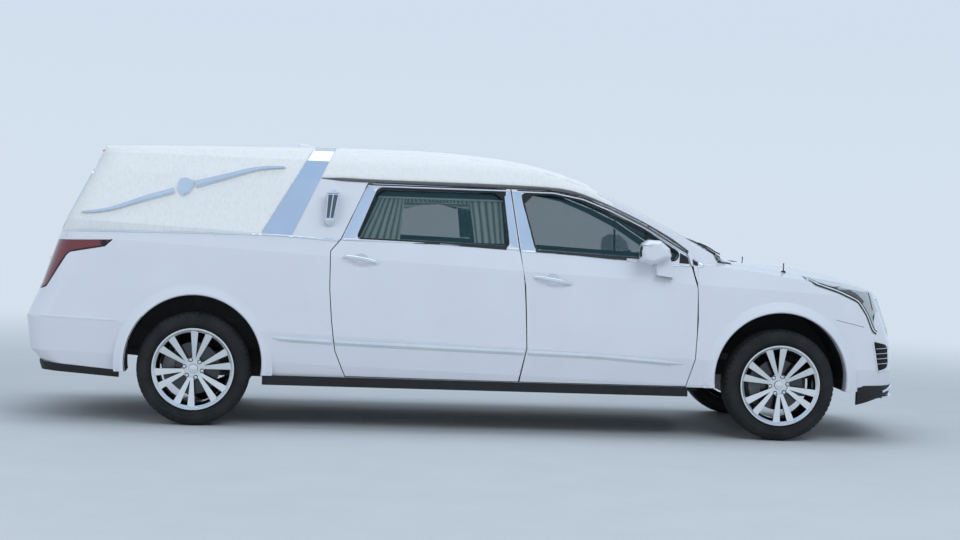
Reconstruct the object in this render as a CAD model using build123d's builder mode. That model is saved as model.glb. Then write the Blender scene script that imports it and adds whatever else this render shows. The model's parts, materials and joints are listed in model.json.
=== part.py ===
"""A funeral coach: a long five-door car with a padded rear roof, landau bars and a casket deck.

Millimetres. +X is forward, +Y is the car's left side, +Z is up. The origin is on the ground,
midway between nose and tail.
"""
import os
from collections import namedtuple
from math import atan, cos, degrees, radians, sin, sqrt, tan

from build123d import *

os.makedirs("parts", exist_ok=True)

# Overall sizes
WHEELBASE = 3930
FRONT_OVERHANG = 955
REAR_OVERHANG = 1165
BODY_WIDTH = 1896
TRACK = 1640

# Wheels and steering
TYRE_OD = 750
TYRE_WIDTH = 235
RIM_OD = 541
RIM_WIDTH = 228
RIM_WALL = 9
HUB_RADIUS = 74
SPOKES = 6
LUGS = 6
LUG_CIRCLE = 120
DISC_RADIUS = 172
KINGPIN_INSET = 50

# Walls and clearances
DOOR_WALL = 105
PILLAR_WALL = 46
TAIL_WALL = 72
HOOD_WALL = 34
FENDER_WALL = 60
SHUT_GAP = 6
SHUT_BEVEL = 7
GLASS = 5
SEAT_GAP = 0.3
ARCH_RADIUS = 450
ARCH_RISE = 40
FLOOR_TOP = 372
FLOOR_DEPTH = 60
DECK_TOP = 660
DECK_THICKNESS = 30

# Stations that follow from the sizes above
FRONT_AXLE = (WHEELBASE + REAR_OVERHANG - FRONT_OVERHANG) / 2
REAR_AXLE = FRONT_AXLE - WHEELBASE
NOSE = FRONT_AXLE + FRONT_OVERHANG
TAIL = REAR_AXLE - REAR_OVERHANG
HALF = BODY_WIDTH / 2
HUB_Z = TYRE_OD / 2
WHEEL_Y = TRACK / 2
FIREWALL = FRONT_AXLE - 580
DOOR_POST = FRONT_AXLE - 1760
LEFT, RIGHT = 1, -1

# The doors' skin: upright up to the belt, set in there, and leaning in above it
BELT_FOOT = 1100
BELT_TOP = 1255
BELT_INSET = 64
SIDE_LEAN = 0.36

# How much the body narrows from its middle to its front and rear corners
FRONT_TAPER = 36
REAR_TAPER = 42

# Body outlines seen from above, one a level: height at the origin, fore-and-aft slope, how far
# each lies inside the widest half width, the nose and the tail, the sagitta of its front and
# rear arcs, and the radii of its front and rear corners.
Level = namedtuple("Level", "z slope side nose tail front_sag rear_sag front_r rear_r")
LOWER = (
    Level(285, -0.010, 66, 0, 175, 190, 75, 300, 150),
    Level(400, -0.025, 28, 20, 25, 190, 75, 300, 150),
    Level(590, -0.036, 0, 34, 0, 190, 75, 300, 170),
    Level(790, -0.042, 8, 42, 90, 200, 80, 320, 190),
    Level(1105, -0.045, 26, 150, 190, 230, 90, 360, 200),
    Level(1260, -0.043, 70, 215, 255, 260, 90, 360, 200),
)
UPPER = (
    Level(1100, -0.043, 86, 1000, 186, 200, 90, 120, 200),
    Level(1225, -0.043, 67, 1200, 238, 200, 90, 120, 200),
    Level(1640, -0.012, 208, 1500, 397, 160, 80, 120, 180),
    Level(1770, -0.010, 272, 1600, 458, 140, 70, 120, 150),
    Level(1925, -0.010, 420, 1700, 534, 120, 60, 100, 120),
)

# Centre lines of roof and hood, as tangent arcs that turn down towards the nose: first the
# point and angle they start from, then radius and turn of each arc, in degrees.
ROOF_START = (TAIL, 1828, 2.36)
ROOF_ARCS = ((61000, 2.36), (6300, 6.5), (2317, 17.5), (12720, 8.0))
ROOF_CROWN = 5200
HOOD_START = (FRONT_AXLE - 620, 1262, -5.0)
HOOD_ARCS = ((12720, 4.5), (1977, 10.5), (160, 45))
HOOD_CROWN = 4600
CUTTER_REACH = 620

# Band over the roof, seen from the side: its rear and front edges as (foot, top) from the post
BAND_REAR = (-1756, -1414)
BAND_FRONT = (-1553, -1279)
BAND_FOOT = 1270
BAND_RISE = 593
BAND_PROUD = 4

# Load door seen from behind, hood and windscreen seen from above, each for the left half
TAIL_LEAN = 21
TAIL_BEVEL = 22
LOAD_DOOR_FOOT = 712
LOAD_DOOR = ((690, 0), (690, 560), (565, 1120), (520, 1155))
HOOD_LEAN = 14
HOOD_EDGE = ((1748, 735), (2300, 712), (2720, 640), (2780, 560))
SCREEN_TOP = 800
SCREEN_FOOT = 1700
SCREEN_TOP_HALF = 625
SCREEN_FOOT_HALF = 760
LOAD_WINDOW = ((560, 625), (475, 1040))
SILL_FOOT = 345

# Side outlines of bumpers and lamps, as (x from the nearest axle, z)
REAR_BUMPER = ((-470, 200), (-490, 681), (-1019, 700), (-1060, 706), (-1400, 706), (-1400, 200))
TAIL_LAMP = ((-548, 1212), (-600, 1164), (-838, 1119), (-979, 888), (-1012, 873), (-1400, 873),
             (-1400, 1193), (-913, 1200))
FRONT_BUMPER = ((310, 200), (359, 829), (573, 789), (631, 745), (674, 880), (1100, 890), (1100, 200))
HEADLAMP = ((160, 1111), (373, 1096), (521, 1058), (630, 1030), (900, 1000), (900, 890), (674, 880),
            (646, 851), (671, 727), (631, 745), (587, 859), (526, 943), (377, 1006), (220, 1053))
LAMP_INNER = 500
MIRROR_HEAD = ((759, 1248), (772, 1304), (817, 1331), (899, 1328), (963, 1275), (981, 1214),
               (844, 1162), (766, 1182))
MIRROR_FOOT = ((880, 1185), (970, 1215), (1008, 1130), (1006, 1080), (893, 1094))
MIRROR_INNER = 962
MIRROR_OUTER = 1072
MIRROR_FORM = ((0, 0.90), (0.12, 1.0), (0.5, 0.98), (0.8, 0.88), (0.95, 0.72), (1, 0.60))
MIRROR_CORNER = 20
FRONT_CUP = (197, 1037)
REAR_CUP = (-1087, 1130)
CUP_BALL = 110
CUP_DEPTH = 14
GRILLE = ((420, 955), (455, 760), (350, 560))
INTAKE = ((560, 470), (500, 350))
GRILLE_ROWS = 6
GRILLE_PITCH = 56

# Wheel section: local positions along the axle, measured outwards from the wheel's middle
RIM_FLANGE = 17
HUB_FACE = 78
HUB_BACK = 40
CAP_RADIUS = 32
DISC_FACE = 20
SPINDLE = 30
FIT = 0.05
RUN_GAP = 5
LUG_RECESS = 15
LUG_NUT = 11
SPOKE_ENDS = ((60, 8, 20, 28, 80), (RIM_OD / 2 - 24, 50, 50, 34, 104))
WHEEL_TURN = {"front": 7.7, "rear": -12.5}
BALL_HEIGHT = 130
PIN_RADIUS = 10

# Chassis, floor and interior
ARM_DEPTH = 30
FRAME_HALF = 380
ENGINE_HEIGHT = 480
FLOOR_HALF = 780
REAR_HALF = 650
LINER_WALL = 8
REAR_FLOOR = 560
KICK_UP = REAR_AXLE + 640
DASH_TOP = 1120
RAIL_HALF = 430
SILL_OUTER = 905
SILL_LAP = 6
SILL_DEPTH = 62
RAIL_TOP = 502
RAIL_WIDTH = 70
RAIL_HEIGHT = 100
HINGE_LEAF = 6
HINGE_ARM = 30
HINGE_GRIP = 26
HINGE_HEIGHT = 60
DOOR_HINGES = (625, 1000)
LOAD_DOOR_HINGES = (790, 1235)
HINGE_SEAT = 10
BIER_PIN = 8
BIER_PINS = (1800, 640)
POST_THICKNESS = 46
DECK_FRONT = -60
DECK_REAR = TAIL + 260
DECK_HALF = 590
SEAT_X = 300
SEAT_Y = 385
SEAT_WIDTH = 520
SEAT_FOOT = 76
STEERING = (900, 385, 1010)
STEERING_TILT = 25
STEERING_RADIUS = 186
COLUMN_LENGTH = 260
COLUMN_RADIUS = 24
# Stations of the posts between the doors, as (x from the shut line, y, z, width)
DOOR_POSTS = ((-30, 735, FLOOR_TOP + SEAT_GAP, 120), (-44, 737, 1225, 100), (-112, 645, 1640, 74),
              (-134, 550, 1830, 74))
CURTAIN_DEPTH = 26
CURTAINS = ((-1118, 1262), (-985, 1548), (-1035, 1548), (-1035, 1562), (-100, 1562), (-100, 1262),
            (-332, 1262), (-368, 1480), (-470, 1508), (-585, 1518), (-700, 1508), (-801, 1480),
            (-825, 1262))

# Lantern lamps: middle and forward lean of the axis, then stations up it as (place, width, depth)
LAMP_MIDDLE = (-1291, 1461)
LAMP_LEAN = 0.11
LAMP_PLATE = (64, 176)
LAMP_SEAT = 8
LAMP_FORM = ((-122, 18, 16), (-113, 44, 32), (-98, 62, 44), (-91, 64, 46), (-87, 57, 41),
             (84, 75, 54), (87, 84, 60), (95, 84, 60), (112, 40, 32), (115, 25, 24), (123, 25, 24))
LAMP_GLASS = (4, 5)
LAMP_RIB = 5

# Landau bars: stations along each half as (x from the door post, z, half width), the bare
# boss between the halves, and how far each tier stands proud of the vinyl
BAR_REAR = ((-2938, 1388, 4), (-2925, 1389, 7), (-2851, 1394, 10), (-2763, 1409, 11),
            (-2676, 1437, 14), (-2590, 1467, 16), (-2494, 1502, 18), (-2338, 1549, 19))
BAR_FRONT = ((-2196, 1596, 24), (-2087, 1628, 20), (-1977, 1660, 18), (-1890, 1688, 16),
             (-1802, 1712, 13), (-1714, 1724, 11), (-1626, 1728, 8), (-1608, 1729, 4))
BAR_BOSS = ((-2315, 1601), (-2295, 1631), (-2264, 1636), (-2211, 1620), (-2216, 1573),
            (-2239, 1537), (-2278, 1513), (-2308, 1548))
BAR_PROUD = 14
BAR_RIDGE = 22
RIDGE_SHARE = 0.42
BOSS_TOP = 0.8

# Side outlines of openings and cut lines, as (x from the door post, z)
BELT = (
    (-3400, 1262), (-1773, 1276), (-1553, 1270), (-1295, 1253), (-563, 1248), (-114, 1227),
    (278, 1209), (781, 1176), (1208, 1154), (1310, 1150),
)
POST_LINE = ((-7, 351), (39, 578), (33, 711), (27, 830), (16, 990), (3, 1105), (-22, 1225),
             (-88, 1634))
FRONT_CUT = ((1118, 352), (1172, 538), (1185, 803), (1177, 1010), (1140, 1140), (1102, 1261))
REAR_CUT = ((-1172, 354), (-1239, 525), (-1266, 727), (-1285, 931), (-1282, 1183), (-1219, 1262),
            (-1047, 1641))
RAIL = ((843, 1419), (631, 1516), (388, 1601), (147, 1633))
FRONT_WINDOW = ((88, 1236), (-10, 1600), (198, 1600), (397, 1565), (587, 1493), (821, 1383),
                (1052, 1240), (1030, 1196), (278, 1229))
REAR_WINDOW = ((-1108, 1280), (-978, 1604), (-147, 1604), (-106, 1255), (-563, 1268))


def outline(level, wall):
    """Closed outline of one level, a wall's thickness inside the skin."""
    stretch = sqrt(1 + level.slope**2)
    width = HALF - level.side - wall
    nose = (NOSE - level.nose - wall) * stretch
    tail = (TAIL + level.tail + wall) * stretch
    front_width, rear_width = width - FRONT_TAPER, width - REAR_TAPER
    front, rear = nose - level.front_sag, tail + level.rear_sag
    middle = (front + rear) / 2
    plane = Plane(
        origin=(0, 0, level.z), x_dir=(1, 0, level.slope), z_dir=(-level.slope, 0, 1)
    )
    with BuildSketch(plane) as sketch:
        with BuildLine():
            ThreePointArc((front, -front_width), (nose, 0), (front, front_width))
            ThreePointArc((front, front_width), (middle, width), (rear, rear_width))
            ThreePointArc((rear, rear_width), (tail, 0), (rear, -rear_width))
            ThreePointArc((rear, -rear_width), (middle, -width), (front, -front_width))
        make_face()
        corners = sketch.vertices().sort_by(Axis.X)
        fillet(corners[:2], max(level.rear_r - wall, 20))
        corners = sketch.vertices().sort_by(Axis.X)
        fillet(corners[-2:], max(level.front_r - wall, 20))
    return sketch.sketch


def loft_levels(levels, wall=0.0):
    with BuildPart() as form:
        for level in levels:
            add(outline(level, wall))
        loft(ruled=True)
    return form.part


def crown_cutter(start, arcs, crown, depth=0.0):
    """Everything above a crowned surface that follows a centre line of tangent arcs."""
    x, z, angle = start
    with BuildLine(Plane.XZ) as path:
        end = (x, z)
        for radius, turn in arcs:
            heading = (cos(radians(angle)), sin(radians(angle)))
            arc = JernArc(end, heading, radius, -turn)
            end = arc @ 1
            end = (end.X, end.Z)
            angle -= turn
    half = HALF + 60
    sag = half**2 / (2 * crown)
    begin = Plane(origin=path.line @ 0, x_dir=(0, 1, 0), z_dir=path.line % 0)
    with BuildPart() as cutter:
        with BuildSketch(begin):
            with BuildLine():
                ThreePointArc((-half, -sag - depth), (0, -depth), (half, -sag - depth))
                Polyline((half, -sag - depth), (half, CUTTER_REACH), (-half, CUTTER_REACH),
                         (-half, -sag - depth))
            make_face()
        sweep(path=path.line)
    return cutter.part


def side_plane(y):
    """Plane at a distance y from the centre, seen from the right: local x is +X, local y +Z."""
    return Plane(origin=(0, y, 0), x_dir=(1, 0, 0), z_dir=(0, -1, 0))


def rear_plane(x):
    """Plane across the car: local x is +Y, local y is +Z."""
    return Plane(origin=(x, 0, 0), x_dir=(0, 1, 0), z_dir=(1, 0, 0))


def from_post(points):
    return [(DOOR_POST + x, z) for x, z in points]


def side_prism(points, inner, outer):
    """A side outline as a prism on the right, between two distances from the centre."""
    with BuildPart() as prism:
        with BuildSketch(side_plane(-inner)):
            with BuildLine():
                Polyline(*points, close=True)
            make_face()
        extrude(amount=outer - inner)
    return prism.part


def plan_prism(points, low, high):
    """An outline seen from above, given for the left half and mirrored, as a prism."""
    mirrored = [(x, -y) for x, y in reversed(points)]
    with BuildPart() as prism:
        with BuildSketch(Plane.XY.offset(low)):
            with BuildLine():
                Polyline(*points, *mirrored, close=True)
            make_face()
        extrude(amount=high - low)
    return prism.part


def box(low, high):
    with BuildPart() as block:
        with Locations(tuple((a + b) / 2 for a, b in zip(low, high))):
            Box(*(b - a for a, b in zip(low, high)))
    return block.part


def skin_y(z):
    """Distance of the door skin from the centre at a height."""
    return HALF if z < BELT_FOOT else HALF - BELT_INSET - max(z - BELT_TOP, 0) * SIDE_LEAN


def door_plug(front, top, rear, gap):
    """A door's outline as a plug on the right whose rear face leans forward going inward."""
    lean = tan(radians(SHUT_BEVEL))
    outer, inner = HALF + 60, HALF - 420
    with BuildPart() as plug:
        for y in (outer, inner):
            leaned = [(x - (y - skin_y(z)) * lean, z) for x, z in rear]
            with BuildSketch(side_plane(-y)):
                with BuildLine():
                    Polyline(*front, *top, *reversed(leaned), close=True)
                make_face()
                if gap:
                    offset(amount=gap, kind=Kind.INTERSECTION)
        loft(ruled=True)
    return plug.part


def write(part, name):
    part.label = name
    export_step(part, f"parts/{name}.step")


def largest(part):
    """The main solid of a panel, without the slivers that its cuts leave at the corners."""
    with BuildPart() as panel:
        add(part.solids().sort_by(SortBy.VOLUME)[-1])
    return panel.part


def mirrored(part):
    with BuildPart() as other:
        mirror(part, about=Plane.XZ)
    return other.part


FAR = 4000
WIDE = HALF + 100

# Outer body, its hollow, and the front end's hollow
roof_above = crown_cutter(ROOF_START, ROOF_ARCS, ROOF_CROWN)
hood_above = crown_cutter(HOOD_START, HOOD_ARCS, HOOD_CROWN)
belt_above = side_prism(
    [(-FAR, BELT[0][1])] + from_post(BELT) + [(FAR, BELT[-1][1]), (FAR, 2500), (-FAR, 2500)],
    -WIDE, WIDE,
)
open_below = (LOWER[0]._replace(z=150),) + LOWER[1:]

with BuildPart() as arches:
    for axle in (FRONT_AXLE, REAR_AXLE):
        with BuildSketch(side_plane(WIDE)):
            with Locations((axle, HUB_Z + ARCH_RISE)):
                Circle(ARCH_RADIUS)
        extrude(amount=2 * WIDE)
    with Locations((0, 0, 500)):
        Box(2 * FAR, 2 * (WHEEL_Y - TYRE_WIDTH / 2 - 90), 2000, mode=Mode.SUBTRACT)

with BuildPart() as flares:
    for axle in (FRONT_AXLE, REAR_AXLE):
        centre = Plane(origin=(axle, 0, HUB_Z + ARCH_RISE), x_dir=(1, 0, 0), z_dir=(0, 0, 1))
        with BuildSketch(centre):
            r, y = ARCH_RADIUS - 2, HALF - 10
            with BuildLine():
                Polyline((r, y - 120), (r, y), (r + 14, y), (r + 76, y - 22), (r + 76, y - 120),
                         close=True)
            make_face()
        revolve(axis=Axis((axle, 0, HUB_Z + ARCH_RISE), (0, 1, 0)))
    mirror(about=Plane.XZ)
    with Locations((0, 0, -2)):
        Box(2 * FAR, 2 * WIDE, 2 * 320, mode=Mode.SUBTRACT)

with BuildPart() as lower:
    add(loft_levels(LOWER))
    add(flares.part)
    add(arches.part, mode=Mode.SUBTRACT)


def crowned_form(levels, wall, start, arcs, crown, depth):
    """The lofted form cut off by a crowned top, both a wall's thickness inside."""
    above = crown_cutter(start, arcs, crown, depth)
    with BuildPart() as form:
        add(loft_levels(levels, wall))
        add(above, mode=Mode.SUBTRACT)
    return form.part


bay = crowned_form(open_below, FENDER_WALL, HOOD_START, HOOD_ARCS, HOOD_CROWN, HOOD_WALL)
head_room = crowned_form(UPPER, PILLAR_WALL, ROOF_START, ROOF_ARCS, ROOF_CROWN, PILLAR_WALL)
top_form = crowned_form(UPPER, 0, ROOF_START, ROOF_ARCS, ROOF_CROWN, 0)
proud_form = crowned_form(UPPER, -BAND_PROUD, ROOF_START, ROOF_ARCS, ROOF_CROWN, -BAND_PROUD)
ahead = box((FIREWALL, -WIDE, 0), (FAR, WIDE, 2500))
behind = box((-FAR, -WIDE, 0), (FIREWALL, WIDE, 2500))
over_hood = box((HOOD_EDGE[0][0] - SHUT_GAP, -WIDE, 0), (FAR, WIDE, 2500))
right_side = box((-FAR, -WIDE, 0), (FAR, -1, 2500))

with BuildPart() as front_solid:
    add(lower.part)
    add(ahead, mode=Mode.INTERSECT)
    add(hood_above, mode=Mode.SUBTRACT)

with BuildPart() as front_end:
    add(front_solid.part)
    add(bay, mode=Mode.SUBTRACT)

cabin_levels = tuple(level._replace(tail=level.tail + TAIL_WALL - DOOR_WALL) for level in open_below)
with BuildPart() as hollow:
    add(loft_levels(cabin_levels, DOOR_WALL))
    add(belt_above, mode=Mode.SUBTRACT)
    add(behind, mode=Mode.INTERSECT)
    add(head_room)

cabin_clear = loft_levels(cabin_levels, DOOR_WALL + SEAT_GAP)
bay_clear = loft_levels(open_below, FENDER_WALL + SEAT_GAP)
roof_clear = crown_cutter(ROOF_START, ROOF_ARCS, ROOF_CROWN, PILLAR_WALL + SEAT_GAP)
with BuildPart() as cabin:
    add(lower.part)
    add(belt_above, mode=Mode.SUBTRACT)
    add(behind, mode=Mode.INTERSECT)
    add(top_form)
    add(hollow.part, mode=Mode.SUBTRACT)
    add(front_solid.part, mode=Mode.SUBTRACT)
    add(over_hood, mode=Mode.SUBTRACT)

# Cutters for the shut lines, each as drawn and again with the shut gap round it
front_cut = from_post(FRONT_CUT)
rail = from_post(RAIL)
post = from_post(POST_LINE)
rear_cut = from_post(REAR_CUT)
post_ahead = [(x - SHUT_GAP, z) for x, z in post]
front_plug = door_plug(front_cut, rail, post, 0)
rear_plug = door_plug(post_ahead, [], rear_cut, 0)
opening_plug = door_plug(front_cut, rail, rear_cut, SHUT_GAP)


def tail_plane(offset):
    """Plane that leans forward with the tail: local x is +Y, local y runs up the load door."""
    lean = radians(TAIL_LEAN)
    plane = Plane(origin=(TAIL, 0, LOAD_DOOR_FOOT), x_dir=(0, -1, 0), z_dir=(-cos(lean), 0, sin(lean)))
    return plane.offset(offset)


def tail_plug(gap):
    """The load door's outline on the tail, drawn in as it goes forward."""
    with BuildPart() as plug:
        for depth in (90, -260):
            with BuildSketch(tail_plane(depth)):
                with BuildLine():
                    Polyline(*LOAD_DOOR, *[(-y, z) for y, z in reversed(LOAD_DOOR)], close=True)
                make_face()
                offset(amount=gap + depth * tan(radians(TAIL_BEVEL)), kind=Kind.INTERSECTION)
        loft(ruled=True)
    return plug.part


def tail_window(shrink):
    with BuildPart() as opening:
        with BuildSketch(tail_plane(160)):
            with BuildLine():
                Polyline(*LOAD_WINDOW, *[(-y, z) for y, z in reversed(LOAD_WINDOW)], close=True)
            make_face()
            fillet(vertices(), 60)
            if shrink:
                offset(amount=-shrink)
        extrude(amount=-420)
    return opening.part


def hood_plug(gap):
    """The hood's outline from above, its front face leaning forward going up."""
    with BuildPart() as plug:
        for z, lean in ((900, 0), (1400, 500 * tan(radians(HOOD_LEAN)))):
            points = [(x + (lean if x > FRONT_AXLE else 0), y) for x, y in HOOD_EDGE]
            with BuildSketch(Plane.XY.offset(z)):
                with BuildLine():
                    Polyline(*points, *[(x, -y) for x, y in reversed(points)], close=True)
                make_face()
                if gap:
                    offset(amount=gap, kind=Kind.INTERSECTION)
        loft(ruled=True)
    return plug.part


def band_slab(rear_in, front_in):
    """The slanted slab of the roof band, narrowed at its rear and front edge."""
    (rx0, rx1), (fx0, fx1) = BAND_REAR, BAND_FRONT
    slope_r, slope_f = (rx1 - rx0) / BAND_RISE, (fx1 - fx0) / BAND_RISE
    low, high = BAND_FOOT - 300, BAND_FOOT + 900
    points = [
        (DOOR_POST + rx0 + rear_in + slope_r * (low - BAND_FOOT), low),
        (DOOR_POST + fx0 - front_in + slope_f * (low - BAND_FOOT), low),
        (DOOR_POST + fx0 - front_in + slope_f * (high - BAND_FOOT), high),
        (DOOR_POST + rx0 + rear_in + slope_r * (high - BAND_FOOT), high),
    ]
    return side_prism(points, -WIDE, WIDE)


def half_space(slab, rear):
    """Everything behind, or ahead of, the band's slab."""
    low, high = BAND_FOOT - 300, BAND_FOOT + 900
    edge = BAND_REAR if rear else BAND_FRONT
    slope = (edge[1] - edge[0]) / BAND_RISE
    reach = -FAR if rear else FAR
    shift = -slab if rear else slab
    points = [
        (DOOR_POST + edge[0] + shift + slope * (low - BAND_FOOT), low),
        (reach, low), (reach, high),
        (DOOR_POST + edge[0] + shift + slope * (high - BAND_FOOT), high),
    ]
    return side_prism(points, -WIDE, WIDE)


screen_plan = [(SCREEN_TOP, SCREEN_TOP_HALF), (SCREEN_FOOT, SCREEN_FOOT_HALF)]
load_plug, load_opening = tail_plug(0), tail_plug(SHUT_GAP)
low_part = side_prism(
    [(-FAR, 0)] + [(-FAR, BELT[0][1])] + from_post(BELT) + [(FAR, BELT[-1][1]), (FAR, 0)],
    -WIDE, WIDE,
)


# Doors
def door_inside(z):
    """Distance of a lower door's inner face from the centre at a height."""
    for low, high in zip(LOWER, LOWER[1:]):
        if low.z <= z <= high.z:
            side = low.side + (high.side - low.side) * (z - low.z) / (high.z - low.z)
            return HALF - side - DOOR_WALL


def door(plug, window):
    """A door panel with its window cut through the frame above the belt."""
    with BuildPart() as panel:
        add(cabin.part)
        add(plug, mode=Mode.INTERSECT)
        with BuildSketch(side_plane(0)):
            with BuildLine():
                Polyline(*from_post(window), close=True)
            make_face()
        extrude(amount=WIDE, mode=Mode.SUBTRACT)
    return panel.part


def pane(window):
    """A window pane that fills its opening in the middle of the frame's thickness."""
    outer = loft_levels(UPPER, PILLAR_WALL / 2 - GLASS / 2)
    inner = loft_levels(UPPER, PILLAR_WALL / 2 + GLASS / 2)
    with BuildPart() as glass:
        add(outer)
        add(inner, mode=Mode.SUBTRACT)
        with BuildSketch(side_plane(0)):
            with BuildLine():
                Polyline(*from_post(window), close=True)
            make_face()
            offset(amount=-SEAT_GAP, kind=Kind.INTERSECTION)
        extrude(amount=WIDE, mode=Mode.INTERSECT)
    return glass.part


def mirror_head():
    """Door mirror: a foot on the skin and a rounded head that tapers outwards."""
    foot, head = from_post(MIRROR_FOOT), from_post(MIRROR_HEAD)
    middle = (sum(x for x, z in head) / len(head), sum(z for x, z in head) / len(head))
    with BuildPart() as shape:
        add(side_prism(foot, HALF - 90, MIRROR_INNER + 12))
        for out, share in MIRROR_FORM:
            y = MIRROR_INNER + (MIRROR_OUTER - MIRROR_INNER) * out
            ring = [tuple(m + (c - m) * share for c, m in zip(point, middle)) for point in head]
            with BuildSketch(side_plane(-y)) as section:
                with BuildLine():
                    Polyline(*ring, close=True)
                make_face()
                fillet(section.vertices(), MIRROR_CORNER * share)
        loft(ruled=True)
    return shape.part


def cupped(panel, cup):
    """A door panel with the shallow round cup behind its handle."""
    ((x, z),) = from_post([cup])
    skin = door_inside(z) + DOOR_WALL
    with BuildPart() as shape:
        add(panel)
        with Locations((x, -skin - CUP_BALL + CUP_DEPTH, z)):
            Sphere(CUP_BALL, mode=Mode.SUBTRACT)
    return shape.part


door_mirror = mirror_head()
with BuildPart() as front_with_mirror:
    add(cupped(door(front_plug, FRONT_WINDOW), FRONT_CUP))
    add(door_mirror)
front_door = front_with_mirror.part
rear_door = cupped(door(rear_plug, REAR_WINDOW), REAR_CUP)
front_glass = pane(FRONT_WINDOW)
rear_glass = pane(REAR_WINDOW)
door_pieces = {
    "front_door": front_door, "rear_door": rear_door,
    "front_door_glass": front_glass, "rear_door_glass": rear_glass,
}
for name, piece in door_pieces.items():
    write(piece, f"{name}_right")
    write(mirrored(piece), f"{name}_left")


# Load door with its window
with BuildPart() as load_door:
    add(cabin.part)
    add(load_plug, mode=Mode.INTERSECT)
    add(tail_window(0), mode=Mode.SUBTRACT)
write(load_door.part, "load_door")

with BuildPart() as load_door_glass:
    add(loft_levels(UPPER, TAIL_WALL / 2))
    add(loft_levels(UPPER, TAIL_WALL / 2 + GLASS), mode=Mode.SUBTRACT)
    add(tail_window(SEAT_GAP), mode=Mode.INTERSECT)
write(load_door_glass.part, "load_door_glass")

# Hood
with BuildPart() as hood:
    add(front_end.part)
    add(hood_plug(0), mode=Mode.INTERSECT)
write(hood.part, "hood")

# Windscreen, in its opening
screen_above = crown_cutter(ROOF_START, ROOF_ARCS, ROOF_CROWN, 6)
screen_below = crown_cutter(ROOF_START, ROOF_ARCS, ROOF_CROWN, 6 + GLASS)
with BuildPart() as windscreen:
    add(screen_below)
    add(screen_above, mode=Mode.SUBTRACT)
    add(plan_prism([(x, y - SEAT_GAP) for x, y in screen_plan], 1100, 1900), mode=Mode.INTERSECT)
write(windscreen.part, "windscreen")

# Fixed shell of the cabin: what the doors, windscreen and load door leave
both_openings = mirrored(opening_plug)
with BuildPart() as fixed:
    add(cabin.part)
    add(opening_plug, mode=Mode.SUBTRACT)
    add(both_openings, mode=Mode.SUBTRACT)
    add(load_opening, mode=Mode.SUBTRACT)
    add(plan_prism(screen_plan, 1150, 1900), mode=Mode.SUBTRACT)


def line_x(points, z):
    """Where a cut line given from foot to head is at a height."""
    for (x0, z0), (x1, z1) in zip(points, points[1:]):
        if z0 <= z <= z1:
            return DOOR_POST + x0 + (x1 - x0) * (z - z0) / (z1 - z0)


def foremost(points, z):
    """The cut line's foremost place over the height of a hinge."""
    return max(line_x(points, z - HINGE_HEIGHT / 2), line_x(points, z + HINGE_HEIGHT / 2))


def hinge_box(x, z, inner, outer, length):
    """One hinge leaf on the right: it starts at x and runs forward, between two distances."""
    return box((x, -outer, z - HINGE_HEIGHT / 2), (x + length, -inner, z + HINGE_HEIGHT / 2))


# Posts behind the shut line between the doors, from the floor up into the roof, with the
# hinge leaves that reach out in the wedge between the doors to the rear door's front face
with BuildPart() as door_posts:
    for x, y, z, width in DOOR_POSTS:
        with BuildSketch(Plane.XY.offset(z)):
            with Locations((DOOR_POST + x, -y)):
                Rectangle(width, POST_THICKNESS)
    loft(ruled=True)
    add(roof_clear, mode=Mode.SUBTRACT)
    for z in DOOR_HINGES:
        face = foremost(POST_LINE, z) - SHUT_GAP + SEAT_GAP
        inside = door_inside(z + HINGE_HEIGHT / 2) - SHUT_GAP
        add(hinge_box(face - HINGE_ARM, z, DOOR_POSTS[0][1], inside, HINGE_ARM + HINGE_LEAF))
        add(hinge_box(face, z, inside - HINGE_LEAF, inside + HINGE_GRIP, HINGE_LEAF))
    mirror(about=Plane.XZ)
write(door_posts.part, "door_posts")

with BuildPart() as upper_shell:
    add(fixed.part)
    add(low_part, mode=Mode.SUBTRACT)

with BuildPart() as vinyl_top:
    add(upper_shell.part)
    add(half_space(0, True), mode=Mode.INTERSECT)
write(vinyl_top.part, "vinyl_top")

with BuildPart() as roof:
    add(upper_shell.part)
    add(half_space(0, False), mode=Mode.INTERSECT)
write(roof.part, "roof")

with BuildPart() as band:
    add(proud_form)
    add(head_room, mode=Mode.SUBTRACT)
    add(band_slab(SEAT_GAP, SEAT_GAP), mode=Mode.INTERSECT)
    add(low_part, mode=Mode.SUBTRACT)
write(band.part, "roof_band")

# Rear bumper, tail lamps and body sides
bumper_side = [(REAR_AXLE + x, z) for x, z in REAR_BUMPER]
lamp_side = [(REAR_AXLE + x, z) for x, z in TAIL_LAMP]
with BuildPart() as lower_shell:
    add(fixed.part)
    add(low_part, mode=Mode.INTERSECT)
    add(box((-FAR, -WIDE, 0), (FAR, WIDE, SILL_FOOT)), mode=Mode.SUBTRACT)

with BuildPart() as rear_bumper:
    add(lower_shell.part)
    add(side_prism(bumper_side, -WIDE, WIDE), mode=Mode.INTERSECT)
write(rear_bumper.part, "rear_bumper")

lamp_block = side_prism(lamp_side, LOAD_DOOR[0][0] + 14, WIDE)
with BuildPart() as tail_lamps:
    add(lower_shell.part)
    add(lamp_block, mode=Mode.INTERSECT)
    mirror(about=Plane.XZ)
write(tail_lamps.part, "tail_lamps")

with BuildPart() as body_side:
    add(lower_shell.part)
    add(side_prism(bumper_side, -WIDE, WIDE), mode=Mode.SUBTRACT)
    add(lamp_block, mode=Mode.SUBTRACT)
    add(right_side, mode=Mode.INTERSECT)
body_panel = largest(body_side.part)
write(body_panel, "body_side_right")

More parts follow.
